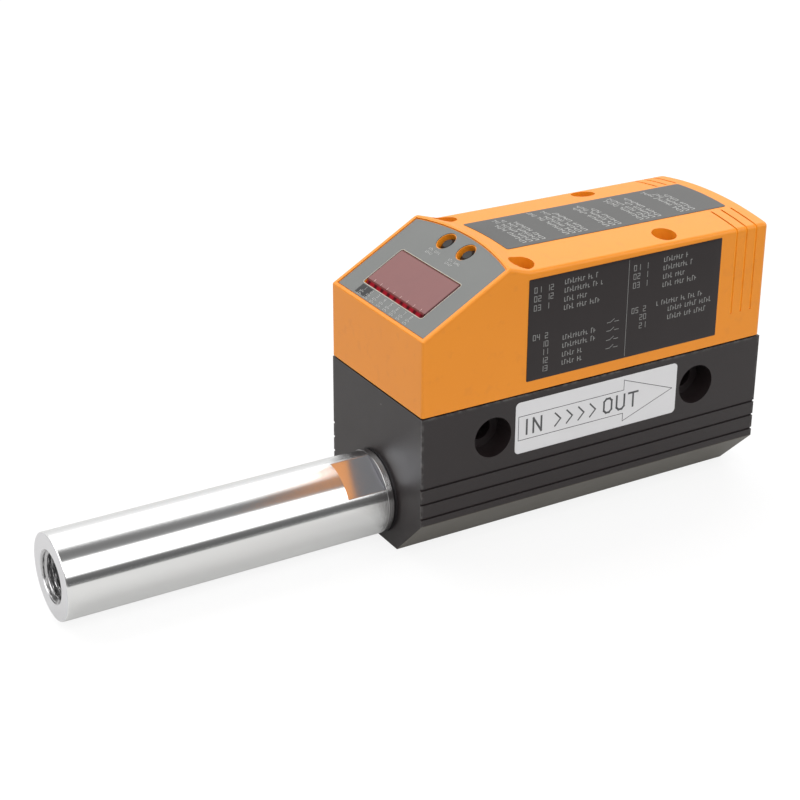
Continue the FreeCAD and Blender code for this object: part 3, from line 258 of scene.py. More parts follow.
PIPE_AXIS, INLET, OUTLET = 12.4, -141.0, 58.5
BORE, PORT, MOUTH, WALL = 4.0, 5.72, 6.82, 11.0
PORT_DEPTH, PORT_LEAD, BORE_LEAD = 13.0, 1.1, 1.2
THREAD_PITCH, THREAD_DEPTH, THREAD_END, RUN_OUT = 1.337, 0.86, 12.2, 1.6
END_RIM, END_EDGE, END_ROUND, END_CHAMFER = 10.72, 10.9, 0.08, 0.28
COLLAR_START, COLLAR_END, COLLAR = -55.0, -53.4, 11.04
UNDERCUT_END, UNDERCUT = -53.1, 10.6
SEAL_NEAR, SEAL_FAR, SEAL_FLOOR = 44.8, 46.2, 9.85
outside = [
    (INLET, END_RIM), (INLET + END_ROUND, END_EDGE), (INLET + END_CHAMFER, WALL),
    (COLLAR_START, WALL), (COLLAR_START + 0.04, COLLAR), (COLLAR_END - 0.1, COLLAR), (COLLAR_END, WALL),
    (COLLAR_END, UNDERCUT), (UNDERCUT_END, UNDERCUT), (UNDERCUT_END, WALL),
    (-SEAL_FAR, WALL), (-SEAL_FAR, SEAL_FLOOR), (-SEAL_NEAR, SEAL_FLOOR), (-SEAL_NEAR, WALL),
    (SEAL_NEAR, WALL), (SEAL_NEAR, SEAL_FLOOR), (SEAL_FAR, SEAL_FLOOR), (SEAL_FAR, WALL),
    (OUTLET - END_CHAMFER, WALL), (OUTLET - END_ROUND, END_EDGE), (OUTLET, END_RIM),
]
inside = [
    (OUTLET, MOUTH), (OUTLET - PORT_LEAD, PORT), (OUTLET - PORT_DEPTH, PORT),
    (OUTLET - PORT_DEPTH - BORE_LEAD, BORE), (INLET + PORT_DEPTH + BORE_LEAD, BORE),
    (INLET + PORT_DEPTH, PORT), (INLET + PORT_LEAD, PORT), (INLET, MOUTH),
]
FINE, COARSE, WHOLE, PIPE_SIDES = 0.11, 5.0, 50.0, 144
spacing = [WHOLE] * len(outside) + [FINE, FINE, COARSE, WHOLE, COARSE, FINE, FINE, WHOLE]
station, radius = along_profile(outside + inside, spacing).T
angle = np.linspace(0, 2 * np.pi, PIPE_SIDES, endpoint=False)
deep = np.minimum(station - INLET, OUTLET - station)[:, None]
full_depth = np.clip((THREAD_END - deep) / RUN_OUT, 0, 1)
cut = PORT + THREAD_DEPTH * full_depth * tooth(station[:, None] / THREAD_PITCH - angle / (2 * np.pi))
in_port = (radius[:, None] >= PORT - 1e-9) & (radius[:, None] <= MOUTH + 1e-9) & (deep > 1e-9)
reach = np.where(in_port, np.maximum(radius[:, None], cut), radius[:, None])
turned = np.stack([
    np.broadcast_to(station[:, None], reach.shape), reach * np.cos(angle), PIPE_AXIS + reach * np.sin(angle),
], axis=-1) * MM
pipe = skin("measuring_pipe_turned", turned)


def cut_out(piece, tool):
    """Take a closed tool away from a piece, as a drill or a milling cutter does."""
    cutting = piece.modifiers.new("cut", "BOOLEAN")
    cutting.object = tool
    cutting.operation = "DIFFERENCE"
    bpy.context.view_layer.update()
    piece.data = bpy.data.meshes.new_from_object(piece.evaluated_get(bpy.context.evaluated_depsgraph_get()))
    piece.modifiers.remove(cutting)
    bpy.data.objects.remove(tool)


DRILL, DRILL_REACH, SIDES = 3.45, 14.0, 64
drill_angle = np.linspace(0, 2 * np.pi, SIDES, endpoint=False)
rim = DRILL * np.stack([np.cos(drill_angle), np.sin(drill_angle)], axis=-1)
ends = [np.column_stack([rim, np.full(SIDES, level)]) for level in (PIPE_AXIS, PIPE_AXIS + DRILL_REACH)]
around = np.arange(SIDES)
beside = (around + 1) % SIDES
walls = np.stack([around, beside, beside + SIDES, around + SIDES], axis=-1)
cut_out(pipe, solid("drill", np.concatenate(ends) * MM, [*walls, around[::-1], around + SIDES]))

ACROSS_FLATS, FLAT_START, FLAT_END, FLAT_TURN = 19.0, -66.0, -55.2, np.radians(123)
CUTTER_REACH, CUTTER_HALF = 14.0, 9.0
BRICK = np.array([[0, 1, 3, 2], [4, 6, 7, 5], [0, 4, 5, 1], [2, 3, 7, 6], [0, 2, 6, 4], [1, 5, 7, 3]])
for turn in (FLAT_TURN, FLAT_TURN + np.pi):
    outwards = np.array([0.0, np.cos(turn), np.sin(turn)])
    sideways = np.array([0.0, -np.sin(turn), np.cos(turn)])
    cutter = [[x, 0, PIPE_AXIS] + off * outwards + side * sideways
              for x in (FLAT_START, FLAT_END)
              for off in (ACROSS_FLATS / 2, CUTTER_REACH)
              for side in (-CUTTER_HALF, CUTTER_HALF)]
    cut_out(pipe, solid("flat_cutter", np.array(cutter) * MM, BRICK))
FAINTEST_EDGE = 12
pipe.data.set_sharp_from_angle(angle=np.radians(FAINTEST_EDGE))

polished_steel, place = finish("polished_steel", {"Metallic": 1.0})
lengthways = place.axis(0)
off_axis = place.vector("SUBTRACT", (0, 0, PIPE_AXIS * MM)).vector("MULTIPLY", (0, 1, 1))
from_axis = off_axis.vector("LENGTH", output=1)


def stretch_of_pipe(start, end, soft):
    """1 between two stations along the pipe; it fades to 0 over the last soft millimetres inside them."""
    middle, half = (start + end) / 2, (end - start) / 2
    return abs(lengthways - middle * MM).between(half * MM, (half - soft) * MM)


def marks_at(coordinate, pitch):
    """Even marks or ribs: a sine from -1 to 1 that repeats every pitch millimetres."""
    return (coordinate * (2 * np.pi / (pitch * MM))).sine()


BLOCK_FACE = -52.5
feed_marks = 0.036 * marks_at(lengthways, 0.09) + 0.050 * marks_at(lengthways, 0.125)
facing_marks = marks_at(from_axis, 0.44)
smears = place.cloud(14 * MM, detail=3.0, stretch=(2.5, 1.0, 1.0))
end_face = 1 - stretch_of_pipe(INLET + 0.03, OUTLET - 0.03, 0.07)
threaded = from_axis.between(7.0 * MM, 6.6 * MM)
round_wall = from_axis.between((WALL - 0.15) * MM, (WALL - 0.05) * MM)
below_wall = from_axis.between((WALL - 0.05) * MM, (WALL - 0.1) * MM)
outside_flat = from_axis.between((ACROSS_FLATS / 2 - 0.2) * MM, (ACROSS_FLATS / 2 - 0.1) * MM)
milled = stretch_of_pipe(FLAT_START, FLAT_END, 0.05) * below_wall * outside_flat
inside_wall = from_axis.between(WALL * MM, (WALL - 0.01) * MM)
step = stretch_of_pipe(FLAT_END - 0.06, FLAT_END + 0.06, 0.03) * inside_wall
collar = stretch_of_pipe(COLLAR_START, COLLAR_END, 0.05)
undercut = stretch_of_pipe(COLLAR_END - 0.02, BLOCK_FACE + 0.12, 0.04)
# Painted shade: the wall where the flats end, and the undercut with its ring beside the base block, are
# coloured nearly black and made rougher. This stands in for the dark gap line and keeps bright reflections
# off that wall.
painted_shade_on_pipe = (step + undercut).at_most(1.0)
bright = smears.tint((0.87, 0.87, 0.87), (0.92, 0.92, 0.915))
faced = end_face.tint(bright, (0.82, 0.815, 0.835))
flatted = milled.tint(faced, (0.84, 0.86, 0.90))
collared = collar.tint(flatted, (0.70, 0.69, 0.69))
bored = threaded.tint(collared, (0.56, 0.555, 0.56))
coat(polished_steel, {
    "Base Color": painted_shade_on_pipe.tint(bored, (0.10, 0.095, 0.10)),
    "Roughness": 0.055 + 0.03 * smears + 0.22 * end_face + 0.2 * threaded + 0.4 * painted_shade_on_pipe + 0.08 * milled,
    "Normal": (feed_marks * round_wall + 0.02 * end_face * facing_marks).relief(0.05 * MM),
})
fit(pipe, polished_steel, "housing", "polished_steel", "measuring_pipe")


# Seals: black rubber rings in the pipe's grooves, round the sensor carrier and under the
# connector's flange, and the flat gasket that is clamped between base and cap.
black_rubber, place = finish("black_rubber", {"IOR": 1.5})
skin_grain = place.cloud(0.15 * MM, detail=3.0)
bloom = place.cloud(4 * MM, detail=3.0)
coat(black_rubber, {
    "Base Color": bloom.tint((0.011, 0.011, 0.011), (0.024, 0.023, 0.022)),
    "Roughness": 0.62 + 0.2 * skin_grain,
    "Normal": skin_grain.relief(0.01 * MM, 0.4),
})
dress(black_rubber, "pipe_seals", "sensor_seal", "base_gasket", "connector_seal")


# Sensor carrier: a plug machined from tan engineering plastic, screwed into the base's
# pocket by its flange, that holds the two probes in the stream of air.
def moulded(name, dark, pale, rough, shine=0.5):
    """A plain moulded or machined plastic: faint cloudy colour and a fine, even surface grain."""
    material, place = finish(name, {"IOR": 1.5, "Specular IOR Level": shine})
    cloudy, fine = place.cloud(7 * MM, detail=3.0), place.cloud(0.12 * MM)
    coat(material, {
        "Base Color": cloudy.tint(dark, pale),
        "Roughness": rough - 0.05 + 0.1 * fine,
        "Normal": fine.relief(0.004 * MM, 0.4),
    })
    return material


dress(moulded("sensor_plastic", (0.42, 0.34, 0.22), (0.52, 0.43, 0.29), 0.45), "sensor_carrier")


# Probes and snap domes: bright drawn steel needles that dip into the air, and the thin
# pressed spring domes under the two buttons.
def bare_metal(name, dark, pale, rough, drawn=(1.0, 1.0, 1.0)):
    """Bare or plated metal: slightly uneven tone and fine marks drawn out along one axis."""
    material, place = finish(name, {"Metallic": 1.0})
    uneven, marks = place.cloud(3 * MM, detail=3.0), place.cloud(0.08 * MM, stretch=drawn)
    coat(material, {
        "Base Color": uneven.tint(dark, pale),
        "Roughness": rough - 0.06 + 0.12 * marks,
        "Normal": marks.relief(0.002 * MM, 0.3),
    })
    return material


bright_steel = bare_metal("bright_steel", (0.62, 0.62, 0.61), (0.72, 0.72, 0.71), 0.22,
                          drawn=(1.0, 1.0, 60.0))
dress(bright_steel, "heated_probe", "reference_probe", "mode_dome", "set_dome")


# Circuit boards: green lacquered sheets for the sensor, the main circuit and the display,
# with copper tracks that show as paler lines under the lacquer.
circuit_board, place = finish("circuit_board", {"IOR": 1.5, "Specular IOR Level": 0.6})
tracks = place.node("ShaderNodeTexBrick", {"offset": 0.37, "squash": 1.6}, {
    "Vector": place, "Scale": 130.0, "Mortar Size": 0.03, "Mortar Smooth": 0.1, "Bias": 0.0,
}, output=1)
lacquer = place.cloud(6 * MM)
green = lacquer.tint((0.012, 0.085, 0.028), (0.018, 0.11, 0.036))
coat(circuit_board, {
    "Base Color": (0.7 * tracks).tint(green, (0.05, 0.21, 0.08)),
    "Roughness": 0.28 + 0.14 * lacquer,
    "Normal": tracks.relief(0.02 * MM, 0.5),
})
dress(circuit_board, "sensor_board", "main_board", "display_board")


# Flat leads: grey ribbon strips, ribbed along each wire, that join the three boards. The hollows between the
# wires carry painted shade.
flat_lead, place = finish("flat_lead", {"IOR": 1.5})
wires = marks_at(place.axis(1), 0.8)
coat(flat_lead, {
    # Painted shade: the colour is darker in the hollows between the wires and paler on their crests.
    "Base Color": (0.5 + 0.5 * wires).tint((0.26, 0.26, 0.27), (0.42, 0.42, 0.42)),
    "Roughness": 0.4 + 0.1 * place.cloud(1.5 * MM),
    "Normal": wires.relief(0.1 * MM, 0.4),
})
dress(flat_lead, "sensor_lead", "display_lead")


# Housing cap: one injection moulding in orange, slanted at the inlet end for the display,
# with a crowned deck behind the slope's crest, four screw wells and grip grooves. Four
# screws hold it to the base.
orange_moulding, place = finish("orange_moulding", {"IOR": 1.5, "Specular IOR Level": 0.5})
spark_grain = place.cloud(0.16 * MM, detail=3.0)
flow_marks = place.cloud(22 * MM, detail=3.0, stretch=(1.8, 1.0, 1.0))
soiling = place.cloud(3 * MM, detail=4.0).between(0.56, 0.72) * 0.18
LAST_GRIP, GRIP_PITCH, GRIP_WIDTH, GRIP_FOOT, GRIPS = 48.3, 3.2, 0.6, 8.0, 3
RAIL, BELOW_RAIL = 3.4, 4.4
cap_low, cap_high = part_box("housing_cap")
from_last = (LAST_GRIP * MM - place.axis(0)) / (GRIP_PITCH * MM)
half_grip = 0.5 * GRIP_WIDTH / GRIP_PITCH
grip = abs((from_last + 0.5).fraction() - 0.5).between(1.1 * half_grip, half_grip)
first_to_last = from_last.between(-0.5, -0.4) * from_last.between(GRIPS - 0.5, GRIPS - 0.6)
above_foot = place.axis(2).between(cap_low.z + GRIP_FOOT * MM, cap_low.z + (GRIP_FOOT + 0.1) * MM)
in_grip = grip * first_to_last * above_foot
# Painted light in the grip grooves: lighter down the side wall to cancel the shade inside them, and a little
# darker than the moulding near the rail.
on_wall = place.axis(2).between(cap_high.z - RAIL * MM, cap_high.z - BELOW_RAIL * MM)
grip_painted_light = on_wall.tint((0.74, 0.24, 0.012), (0.91, 0.385, 0.032))
orange = in_grip.tint(flow_marks.tint((0.765, 0.246, 0.010), (0.815, 0.274, 0.014)), grip_painted_light)
coat(orange_moulding, {
    "Base Color": soiling.tint(orange, (0.60, 0.19, 0.022)),
    "Roughness": 0.36 + 0.08 * spark_grain + 0.05 * flow_marks,
    "Normal": spark_grain.relief(0.004 * MM, 0.35),
})
dress(orange_moulding, "housing_cap")


# Screws: plain zinc plated socket screws that hold the cap, and small pan screws for the
# boards and the sensor carrier.
screw_steel = bare_metal("screw_steel", (0.40, 0.40, 0.41), (0.52, 0.52, 0.52), 0.34)
dress(screw_steel, "cap_screws", "board_screws", "display_screws", "carrier_screws")


# Front film: a grey polyester film with a satin face, printed on its back and glued into
# the shallow recess of the slanted front. A cream line of painted highlight goes round the window,
# figures number the eight lights below it, over a dark patch at one end, and small marks stand by the
# buttons.
SLANT = np.radians(29.5)
SLANT_FOOT = np.array([-52.5, 0.0, 61.8])
UP_SLOPE = np.array([np.cos(SLANT), 0.0, np.sin(SLANT)])
OUT_OF_SLOPE = np.array([-np.sin(SLANT), 0.0, np.cos(SLANT)])
FILM_FACE, INK, INK_FOOT = -0.2, 0.02, -0.01

grey_film, place = finish("grey_film", {"IOR": 1.5, "Specular IOR Level": 0.5})
satin = place.cloud(0.2 * MM)
waves = place.cloud(12 * MM)
coat(grey_film, {
    "Base Color": waves.tint((0.118, 0.123, 0.118), (0.138, 0.143, 0.137)),
    "Roughness": 0.2 + 0.05 * satin + 0.05 * waves,
    "Normal": satin.relief(0.0015 * MM, 0.3),
})
dress(grey_film, "front_film")


def on_slope(u, v, rise):
    """Points on the slanted front: u runs across towards -Y, v up the slope, and rise stands off the film."""
    return SLANT_FOOT + v[..., None] * UP_SLOPE - u[..., None] * np.array([0.0, 1.0, 0.0]) + (
        FILM_FACE + rise)[..., None] * OUT_OF_SLOPE


def strokes_of_ink(name, strokes, widths, surface, thickness=INK):
    """Printed strokes: each is a flat bar from (u0, v0) to (u1, v1), laid on a surface.

    The bar is as wide as widths says, and its ends stand half a width past its two points.
    Thickness varies a little from stroke to stroke, so no two faces lie in one plane.
    """
    strokes = np.asarray(strokes, float)
    start, end = strokes[:, :2], strokes[:, 2:]
    half = np.broadcast_to(np.asarray(widths, float) / 2, len(strokes))[:, None]
    ahead = (end - start) / np.linalg.norm(end - start, axis=1, keepdims=True) * half
    side = np.stack([-ahead[:, 1], ahead[:, 0]], axis=1)
    start, end = start - ahead, end + ahead
    flat = np.stack([start - side, end - side, end + side, start + side], axis=1)
    top = np.broadcast_to(np.linspace(0.7, 1.0, len(strokes))[:, None] * thickness, flat.shape[:2])
    low = surface(flat[..., 0], flat[..., 1], np.full(flat.shape[:2], INK_FOOT))
    high = surface(flat[..., 0], flat[..., 1], top)
    box = np.array([[0, 3, 2, 1], [4, 5, 6, 7], [0, 1, 5, 4], [1, 2, 6, 5], [2, 3, 7, 6], [3, 0, 4, 7]])
    faces = (box[None] + 8 * np.arange(len(strokes))[:, None, None]).reshape(-1, 4)
    return solid(name, np.concatenate([low, high], axis=1).reshape(-1, 3) * MM, faces)


SEGMENTS = np.array([
    [0, 2, 1, 2], [1, 1, 1, 2], [1, 0, 1, 1], [0, 0, 1, 0], [0, 0, 0, 1], [0, 1, 0, 2], [0, 1, 1, 1]], float)
LIT = {
    "0": (0, 1, 2, 3, 4, 5), "1": (1, 2), "2": (0, 1, 6, 4, 3), "3": (0, 1, 6, 2, 3), "4": (5, 6, 1, 2),
    "5": (0, 5, 6, 2, 3), "6": (0, 5, 4, 3, 2, 6), "7": (0, 1, 2), "8": (0, 1, 2, 3, 4, 5, 6),
}


def figures(text, left, base, height, pitch):
    """Strokes of plain seven-segment figures, from the left end of their base line."""
    wide = 0.5 * height
    rows = [SEGMENTS[list(LIT[figure])] * [wide, height / 2, wide, height / 2] + [left + i * pitch, base] * 2
            for i, figure in enumerate(text) if figure != " "]
    return np.concatenate(rows)


pale_ink = moulded("pale_ink", (0.30, 0.30, 0.29), (0.38, 0.38, 0.37), 0.45)
LIGHTS, LIGHT_PITCH = 8, 3.2
NUMBER_BASE, NUMBER_HEIGHT, HALF_NUMBER = 3.45, 0.95, 0.25
lights = (np.arange(LIGHTS) - (LIGHTS - 1) / 2) * LIGHT_PITCH
numbering = np.concatenate([
    figures(str(i + 1), u - HALF_NUMBER, NUMBER_BASE, NUMBER_HEIGHT, 1.0) for i, u in enumerate(lights)])


def small_print(left, base, words, height, pitch=0.62, gap=0.75):
    """Strokes for one row of small marks: a word is a count of marks, with a gap after each word.

    A mark is an upright tick, whose height follows a sine of its number so that the row is uneven,
    with a short dash beside it at its foot, middle or head in turn.
    """
    counts = np.asarray(words)
    number = np.arange(counts.sum())
    at = left + pitch * number + gap * np.repeat(np.arange(len(counts)), counts)
    tall = height * (0.8 + 0.2 * np.sin(2.6 * number))
    level = base + tall * (number * 2 % 3) / 2
    ticks = np.column_stack([at, np.full(len(at), base), at, base + tall])
    dashes = np.column_stack([at, level, at + 0.45 * pitch, level])
    return np.concatenate([ticks, dashes])


def round_cornered(half_u, half_v, corner, steps=7):
    """Points round a rectangle about the origin whose corners are quarter circles."""
    quarter = np.linspace(0, np.pi / 2, steps)
    turns = np.concatenate([quarter + k * np.pi / 2 for k in range(4)])
    signs = np.repeat([[1, 1], [-1, 1], [-1, -1], [1, -1]], steps, axis=0)
    circles = corner * np.stack([np.cos(turns), np.sin(turns)], axis=1)
    return signs * [half_u - corner, half_v - corner] + circles


BUTTONS, LEGEND_ROWS, UNIT_ROWS = (-4.6, 4.6), ((22.1, (3, 4)), (20.9, (5,))), (1.55, 2.5)
legends = np.concatenate([
    small_print(middle - 2.2, v, words, height=0.7) for middle in BUTTONS for v, words in LEGEND_ROWS])
units = np.concatenate([
    small_print(u - 0.8, v, words=(3,), height=0.6, pitch=0.6) for u in lights for v in UNIT_ROWS])
ink_groups = (numbering, legends, units)
ink_widths = np.repeat([0.12, 0.13, 0.13], [len(group) for group in ink_groups])
film_print = strokes_of_ink("film_print", np.concatenate(ink_groups), ink_widths, on_slope)
fit(film_print, pale_ink, "housing", "grey_film")

# Painted highlight: a cream line just outside the window's opening, standing in for the light caught by its
# edge.
WINDOW_MIDDLE, WINDOW_HALF_WIDTH, WINDOW_HALF_HEIGHT, WINDOW_CORNER = 11.674, 14.3, 6.624, 0.8
LINE_GAP, LINE_WIDTH = 0.05, 0.16
round_window = [0, WINDOW_MIDDLE] + round_cornered(
    WINDOW_HALF_WIDTH + LINE_GAP, WINDOW_HALF_HEIGHT + LINE_GAP, WINDOW_CORNER)
window_line = np.concatenate([round_window, np.roll(round_window, -1, axis=0)], axis=1)
window_painted_highlight = strokes_of_ink("window_painted_highlight", window_line, LINE_WIDTH, on_slope)
painted_highlight_cream = moulded("painted_highlight_cream", (0.42, 0.38, 0.31), (0.52, 0.47, 0.39), 0.5)
fit(window_painted_highlight, painted_highlight_cream, "housing", "grey_film")

# A dark patch laid thinly on the film at one end of the figures.
FIELD, FIELD_HEIGHT, PATCH_THICKNESS = [[-11.9, 3.2, -9.6, 3.2]], 3.0, 0.006
dark_patch = strokes_of_ink("film_dark_patch", FIELD, FIELD_HEIGHT, on_slope, PATCH_THICKNESS)
dark_patch_finish = moulded("dark_patch_finish", (0.016, 0.0165, 0.017), (0.024, 0.0245, 0.025), 0.5, shine=0.35)
fit(dark_patch, dark_patch_finish, "housing", "grey_film")


# Display window: a lens moulded in clear red acrylic, pushed in from inside. Its bevelled
# lower edge is painted a deeper red, a painted glow that is brightest over each of the row of light guides,
# a fine pale tick marks each, and its outer and upper edges carry painted shade, dark and metallic
# so that they lose their sheen, for the opening's shadowed wall.
red_lens, place = finish("red_lens", {"IOR": 1.5, "Specular IOR Level": 0.5})
from_foot = place.vector("SUBTRACT", tuple(SLANT_FOOT * MM))
up_slope = from_foot.vector("DOT_PRODUCT", tuple(UP_SLOPE), output=1)
bevel = up_slope.between(6.32 * MM, 6.18 * MM)
# Painted glow: the bevel strip is a deeper red, brightest over each light guide.
cell = (place.axis(1) / (LIGHT_PITCH * MM) + 4.0).fraction()
painted_glow = abs(cell - 0.5).between(0.44, 0.16)
depths = place.cloud(5 * MM)
face_red = depths.tint((0.170, 0.046, 0.044), (0.190, 0.054, 0.050))
painted_glow_red = painted_glow.tint((0.075, 0.002, 0.006), (0.32, 0.006, 0.018))
# Painted shade: the outer and upper edges are dark and metallic, for the shadowed wall of the opening.
outer_edge = place.axis(1).between(-13.35 * MM, -13.55 * MM)
upper_edge = up_slope.between(17.75 * MM, 17.9 * MM)
edge_shade = (0.95 * outer_edge + 0.6 * upper_edge).at_most(0.95)
coat(red_lens, {
    "Base Color": edge_shade.tint(bevel.tint(face_red, painted_glow_red), (0.045, 0.012, 0.014)),
    "Metallic": edge_shade,
    "Roughness": 0.1 + 0.06 * depths,
    "Normal": place.cloud(8 * MM).relief(0.02 * MM, 0.2),
})
dress(red_lens, "display_window")

LENS_SUNK, TICK_FOOT, TICK_HEAD, TICK_WIDTH = 0.05, 6.65, 7.35, 0.13


def on_lens(u, v, rise):
    """Points on the lens: as on the slope, but at the lens's own face, a little below the film's."""
    return on_slope(u, v, rise - LENS_SUNK)


ticks = np.stack([lights, np.full(LIGHTS, TICK_FOOT), lights, np.full(LIGHTS, TICK_HEAD)], axis=1)
lens_ticks = strokes_of_ink("lens_ticks", ticks, TICK_WIDTH, on_lens)
fit(lens_ticks, moulded("tick_ink", (0.48, 0.28, 0.26), (0.58, 0.36, 0.34), 0.4), "housing", "red_lens")


# Display module and light guides: a black digit block on the display board, and eight
# clear moulded guides that carry the indicator lights to the lens.
dress(moulded("display_black", (0.016, 0.016, 0.017), (0.028, 0.028, 0.029), 0.3), "display_module")
dress(moulded("led_clear", (0.66, 0.63, 0.58), (0.76, 0.73, 0.68), 0.2), "indicator_leds")


# Setting buttons and switches: dark grey moulded plungers, set back in their wells so that
# they are pressed with a thin tool, each over a small black switch.
# The plungers are nearly black: their own dark grey is deepened by painted shade, so that the wells read
# deeper.
button_grey = moulded("button_grey", (0.012, 0.0115, 0.011), (0.024, 0.023, 0.022), 0.42, shine=0.25)
dress(button_grey, "mode_button", "set_button")
dress(moulded("switch_black", (0.018, 0.018, 0.018), (0.03, 0.03, 0.03), 0.5), "mode_switch", "set_switch")


# Plug connector: a shell turned from brass and nickel plated, with a fine thread for the
# cable plug's nut, held in the cap's end by a hexagon nut, with a black insert and gold pins.
SHELL_START, SHELL_AXIS, SHELL_BACK, SHELL_FRONT, FLANGE_FRONT = 52.5, 59.3, -8.0, 11.0, 2.2
SOCKET, CREST, NECK, FLANGE = 5.0, 6.0, 7.0, 9.2
SEAL_INNER, SEAL_OUTER, SEAL_DEPTH = 7.7, 8.5, 0.8
FINE_PITCH, FINE_DEPTH, FINE_START, FINE_RUN_OUT, FINE_STEP = 1.0, 0.55, 3.4, 0.8, 0.09
SHELL_SIDES = 128
shell_profile = [
    (SHELL_BACK, SOCKET), (SHELL_FRONT, SOCKET), (SHELL_FRONT, CREST - 0.6), (SHELL_FRONT - 0.6, CREST),
    (FLANGE_FRONT, CREST), (FLANGE_FRONT, FLANGE - 0.2), (FLANGE_FRONT - 0.2, FLANGE),
    (0.15, FLANGE), (0.0, FLANGE - 0.15), (0.0, SEAL_OUTER), (SEAL_DEPTH, SEAL_OUTER),
    (SEAL_DEPTH, SEAL_INNER), (0.0, SEAL_INNER), (0.0, NECK), (SHELL_BACK, NECK),
]
spacing = [WHOLE, WHOLE, FINE_STEP, FINE_STEP] + [WHOLE] * 11
station, radius = along_profile(shell_profile, spacing).T
angle = np.linspace(0, 2 * np.pi, SHELL_SIDES, endpoint=False)
on_thread = (station > FLANGE_FRONT + 1e-6) & (station < SHELL_FRONT - 1e-6)
threaded = on_thread & (radius > SOCKET + 0.05) & (radius < CREST + 0.05)
full_depth = np.clip((station - FINE_START) / FINE_RUN_OUT, 0, 1)[:, None]
groove = CREST - FINE_DEPTH * full_depth * tooth(station[:, None] / FINE_PITCH - angle / (2 * np.pi))
reach = np.where(threaded[:, None], np.minimum(radius[:, None], groove), radius[:, None])
shell = skin("connector_shell_turned", np.stack([
    np.broadcast_to(SHELL_START + station[:, None], reach.shape), reach * np.cos(angle),
    SHELL_AXIS + reach * np.sin(angle),
], axis=-1) * MM)
nickel_brass = bare_metal("nickel_brass", (0.56, 0.54, 0.50), (0.66, 0.64, 0.60), 0.24,
                          drawn=(1.0, 60.0, 60.0))
fit(shell, nickel_brass, "housing", "nickel_brass", "connector_shell")
dress(nickel_brass, "connector_nut")
dress(moulded("insert_black", (0.014, 0.014, 0.014), (0.024, 0.024, 0.024), 0.5), "connector_insert")
gold_pins = bare_metal("gold_pins", (0.78, 0.55, 0.20), (0.86, 0.64, 0.27), 0.2, drawn=(60.0, 1.0, 1.0))
dress(gold_pins, "connector_pins")


# Labels: satin polyester films glued to the cap's side and top. Figures and rows of small
# marks in pale ink stand in two columns on the side, with four small contact signs, and
# more such rows stand across the top.
SHEET = 0.13


def label_sheet(name, half_u, half_v, corner, surface):
    """A film with rounded corners: its outline is carried inwards in rings over a surface.

    The outline is a rectangle whose corners are quarter circles. The first ring is its foot, the
    second its upper edge, and the next ones shrink towards the middle, where one small face closes it.
    """
    parts, inner_rings = 8, 14
    gaps = np.arange(parts)[:, None] / parts
    bend = round_cornered(half_u, half_v, corner)
    edge = np.concatenate([
        start + (end - start) * gaps if np.linalg.norm(end - start) > 1 else start[None]
        for start, end in zip(bend, np.roll(bend, -1, axis=0))])
    shrink = np.concatenate([[1.0, 1.0], np.linspace(0.985, 0.02, inner_rings)])
    lift = np.concatenate([[0.0, 0.8 * SHEET], np.full(inner_rings, SHEET)])
    rings = edge[None] * shrink[:, None, None]
    grid = surface(rings[..., 0], rings[..., 1], np.broadcast_to(lift[:, None], rings.shape[:2]))
    rows, columns = grid.shape[:2]
    row, column = np.arange(rows - 1)[:, None], np.arange(columns)[None, :]
    beside = (column + 1) % columns
    quads = np.stack([row * columns + column, row * columns + beside,
                      (row + 1) * columns + beside, (row + 1) * columns + column], axis=-1).reshape(-1, 4)
    return solid(name, grid.reshape(-1, 3) * MM, [
        *quads, np.arange(columns)[::-1], (rows - 1) * columns + np.arange(columns)])


def film_ink(name, dark, pale):
    """A satin printed film: an even ink with faint waves and a very fine texture."""
    material, place = finish(name, {"IOR": 1.5, "Specular IOR Level": 0.5})
    fine, waves = place.cloud(0.18 * MM), place.cloud(10 * MM)
    coat(material, {
        "Base Color": waves.tint(dark, pale),
        "Roughness": 0.3 + 0.06 * fine + 0.06 * waves,
        "Normal": fine.relief(0.002 * MM, 0.3),
    })
    return material


side_low, side_high = (np.array(corner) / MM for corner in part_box("side_label"))
side_middle = (side_low + side_high) / 2


def on_side(u, v, rise):
    """Points on the cap's side: u runs along X, v up from the label's middle, rise off the wall."""
    return np.stack([side_middle[0] + u, side_high[1] - rise, side_middle[2] + v], axis=-1)


def on_side_film(u, v, rise):
    """Points on the face of the side label."""
    return on_side(u, v, rise + SHEET)


side_half = (side_high - side_low) / 2
side_sheet = label_sheet("side_label_film", side_half[0], side_half[2], corner=0.3, surface=on_side)
charcoal_label = film_ink("charcoal_label", (0.0105, 0.0062, 0.0066), (0.0145, 0.0098, 0.0102))
fit(side_sheet, charcoal_label, "housing", "charcoal_label", "side_label")

